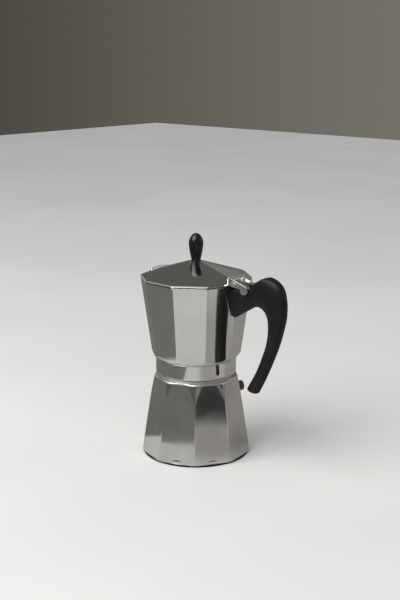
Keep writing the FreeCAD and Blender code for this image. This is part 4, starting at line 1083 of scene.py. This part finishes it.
shelf_out = np.array([BRACKET_FACE, 49.2, 50.2, 51.0, 51.4, 52.4, 55.0, 58.0, 60.6, 61.1])
shelf = np.stack([shelf_out, np.full(len(shelf_out), SHELF)], axis=1)
notch_start = math.pi - math.asin((SHELF - HINGE[1]) / NOTCH)
notch = on_circle(HINGE, NOTCH, np.linspace(notch_start, arm_tangent - LID_SWING + 2 * math.pi, 22))
stop_share = np.array([0.06, 0.3, 0.6, 0.85, 0.96])
stop_face = notch[-1] + stop_share[:, None] * (hook_outer[0] - notch[-1])
bracket_outer = np.concatenate([shelf, notch, stop_face])
notch_out = np.linspace(*UNDER_NOTCH, len(notch))
inner_out = np.concatenate([shelf_out, notch_out, notch_out[-1] + stop_share * UNDER_STOP])
bracket_inner = np.stack([inner_out, underside(inner_out)], axis=1)
print("bracket:", len(bracket_outer), "sections")

# %% Handle
BRACKET_HALF = 7.4
BOX_ROWS = 22
OVAL_POWER = 0.9
BOX_POWER = 0.28
TAPER = 0.38
TAPER_REACH = 1.15
HANDLE_COLUMNS = 64
TIP_ROUND = 2.4
TIP_HALF = 5.8
TIP_RUN = np.array([-0.30, 0, -0.95])
TONGUE_GAP = 0.1
TONGUE_FOOT = [(62.2, 167.5), (70.8, 167.5)]
TONGUE_HALF = 3.2


def signed_power(value, power):
    """A sine or cosine raised to a power with its sign kept, which makes a circle a superellipse."""
    return np.sign(value) * np.abs(value) ** power


outer = np.concatenate([bracket_outer, hook_outer])
inner = np.concatenate([bracket_inner, hook_inner])
half_width = np.concatenate([np.full(len(bracket_outer), BRACKET_HALF), hook_width])[:, None]
hook_boxy = 1 - soft_step(np.arange(HOOK_ROWS), 0, BOX_ROWS)
boxy = np.concatenate([np.ones(len(bracket_outer)), hook_boxy])[:, None]
power = OVAL_POWER - (OVAL_POWER - BOX_POWER) * boxy
turn = full_turn(HANDLE_COLUMNS)
upward = signed_power(np.cos(turn), power)
sideways = signed_power(np.sin(turn), power)
taper = 1 - TAPER * boxy * soft_step(-upward, 0.0, TAPER_REACH)
middle = (outer + inner) / 2
half = (outer - inner) / 2
handle_rows = np.zeros((len(outer), HANDLE_COLUMNS, 3))
handle_rows[..., 0] = middle[:, :1] + half[:, :1] * upward
handle_rows[..., 1] = half_width * sideways * taper
handle_rows[..., 2] = middle[:, 1:] + half[:, 1:] * upward
end = handle_rows[-1]
end_middle = end.mean(0)
bend = np.linspace(0, math.pi / 2, 7)[1:, None, None]
tip_scale = 1 - TIP_ROUND * (1 - np.cos(bend)) / TIP_HALF
tip_rows = end_middle + tip_scale * (end - end_middle) + TIP_ROUND * np.sin(bend) * TIP_RUN
handle_grid = closed_grid(np.concatenate([handle_rows, tip_rows])[:, ::-1])
tongue_top = on_circle(HINGE, KNUCKLE - TONGUE_GAP, np.linspace(0, math.pi, 24))
tongue = slab(np.concatenate([tongue_top, TONGUE_FOOT]), -TONGUE_HALF, TONGUE_HALF, 0.3, SIDE_VIEW)
handle_shape = joined(handle_grid, tongue)
add_piece("hook_handle", handle_shape, satin_black, "serving_pot", "handle")

# %% [markdown]
# ## Safety valve
# A dark brass nut stands square on one facet of the boiler. A six-sided prism would be too crude: the
# corners of a real nut are turned off to a cone. The radius at each angle is the smaller of the hexagon
# and that cone. The nut is made upright and then tilted onto the facet.

# %% Valve
VALVE_HEIGHT = 63.4
VALVE_FLAT = 4.5
VALVE_COLUMNS = 96
VALVE_EASE = 0.05
NUT_LEAST = 4.0
NUT_BOTTOM = 0.7
VALVE_BORE = (2.5, -7.0)
VALVE_CORNERS = [VALVE_BORE, (3.95, -7.0), (3.95, 0.8), (4.7, 0.8), (5.3, 1.2), (5.3, 4.7), (4.5, 5.2),
                 (3.4, 5.2), (3.4, 6.0), (1.1, 6.0), (1.1, 2.4), (2.5, 2.4), VALVE_BORE]

valve_turn = FACET_TURN + 2 * math.pi / FACETS
valve_out = np.array([math.cos(valve_turn), math.sin(valve_turn), 0])
valve_side = np.array([-math.sin(valve_turn), math.cos(valve_turn), 0])
facet_normal = valve_out + FACET_SLOPE * np.array(UP)
facet_normal /= np.linalg.norm(facet_normal)
valve_basis = np.stack([valve_side, np.cross(facet_normal, valve_side), facet_normal])
valve_foot = (FACET_APOTHEM - FACET_SLOPE * VALVE_HEIGHT) * valve_out + VALVE_HEIGHT * np.array(UP)
valve_profile = rounded(VALVE_CORNERS, 0.25, steps=3, closed=False)[:-1]
turn = full_turn(VALVE_COLUMNS)
radius, height = profile_grid(valve_profile, turn)
off_flat = np.mod(turn + math.pi / 6, math.pi / 3) - math.pi / 6
on_nut = (radius > NUT_LEAST) & (height > NUT_BOTTOM)
radius = np.where(on_nut, soft_min(radius, VALVE_FLAT / np.cos(off_flat), VALVE_EASE), radius)
valve_rows = turned(radius, turn, height) @ valve_basis + valve_foot
valve_shape = closed_grid(valve_rows, loop=True)
add_piece("valve_nut", valve_shape, brass, "boiler_base", "valve_body")

# %% [markdown]
# ## Valve spring
# A small coil inside the nut presses the plunger onto its seat. When the valve lifts, the plunger
# slides outward and the coil gets shorter, which a stiff solid cannot do. So the coil is a piece of its
# own, a circle of wire carried along a helix, with a mesh of its own.

# %% Valve spring
SOLID_APOTHEM = 50.5
SPRING_RADIUS = 1.6
WIRE_RADIUS = 0.25
SPRING_START = -2.8
SPRING_END = 2.5
SPRING_PITCH = 1.1
SPRING_ROWS = 160
WIRE_COLUMNS = 12

spring_foot = valve_foot + (SOLID_APOTHEM - FACET_APOTHEM) * valve_out
laps = (SPRING_END - SPRING_START) / SPRING_PITCH
lap_turn = 2 * math.pi * np.linspace(0, laps, SPRING_ROWS)[:, None]
wire_turn = full_turn(WIRE_COLUMNS)
radius = SPRING_RADIUS + WIRE_RADIUS * np.sin(wire_turn)
height = SPRING_START + SPRING_PITCH * lap_turn / (2 * math.pi) + WIRE_RADIUS * np.cos(wire_turn)
coil_shape = closed_grid(turned(radius, lap_turn, height) @ valve_basis + spring_foot)
relief_coil = add_piece("relief_coil", coil_shape, steel, "boiler_base", "valve_spring")
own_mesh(relief_coil)

# %% [markdown]
# ## Pieces kept as they are
# What sits inside, and the small turned fasteners, already have the right shape as solids. They could
# be drawn again with softer edges, but hardly any of them is seen. They keep their shape and only get
# the finish of their metal or rubber.

# %% Finishes of the solids that stay
finishes = {
    polished: ("column",),
    thin_sheet: ("funnel", "funnel_disc", "filter_plate"),
    brass: ("valve_seat", "valve_pin"),
    rubber: ("valve_seal", "valve_washer", "gasket"),
    steel: ("handle_screw", "hinge_rivets", "hinge_pin", "knob_screw", "knob_washer"),
}
for material, nodes in finishes.items():
    for node in nodes:
        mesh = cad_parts[node].data
        mesh.materials.clear()
        mesh.materials.append(material)
print("finished solids:", sum(len(nodes) for nodes in finishes.values()))
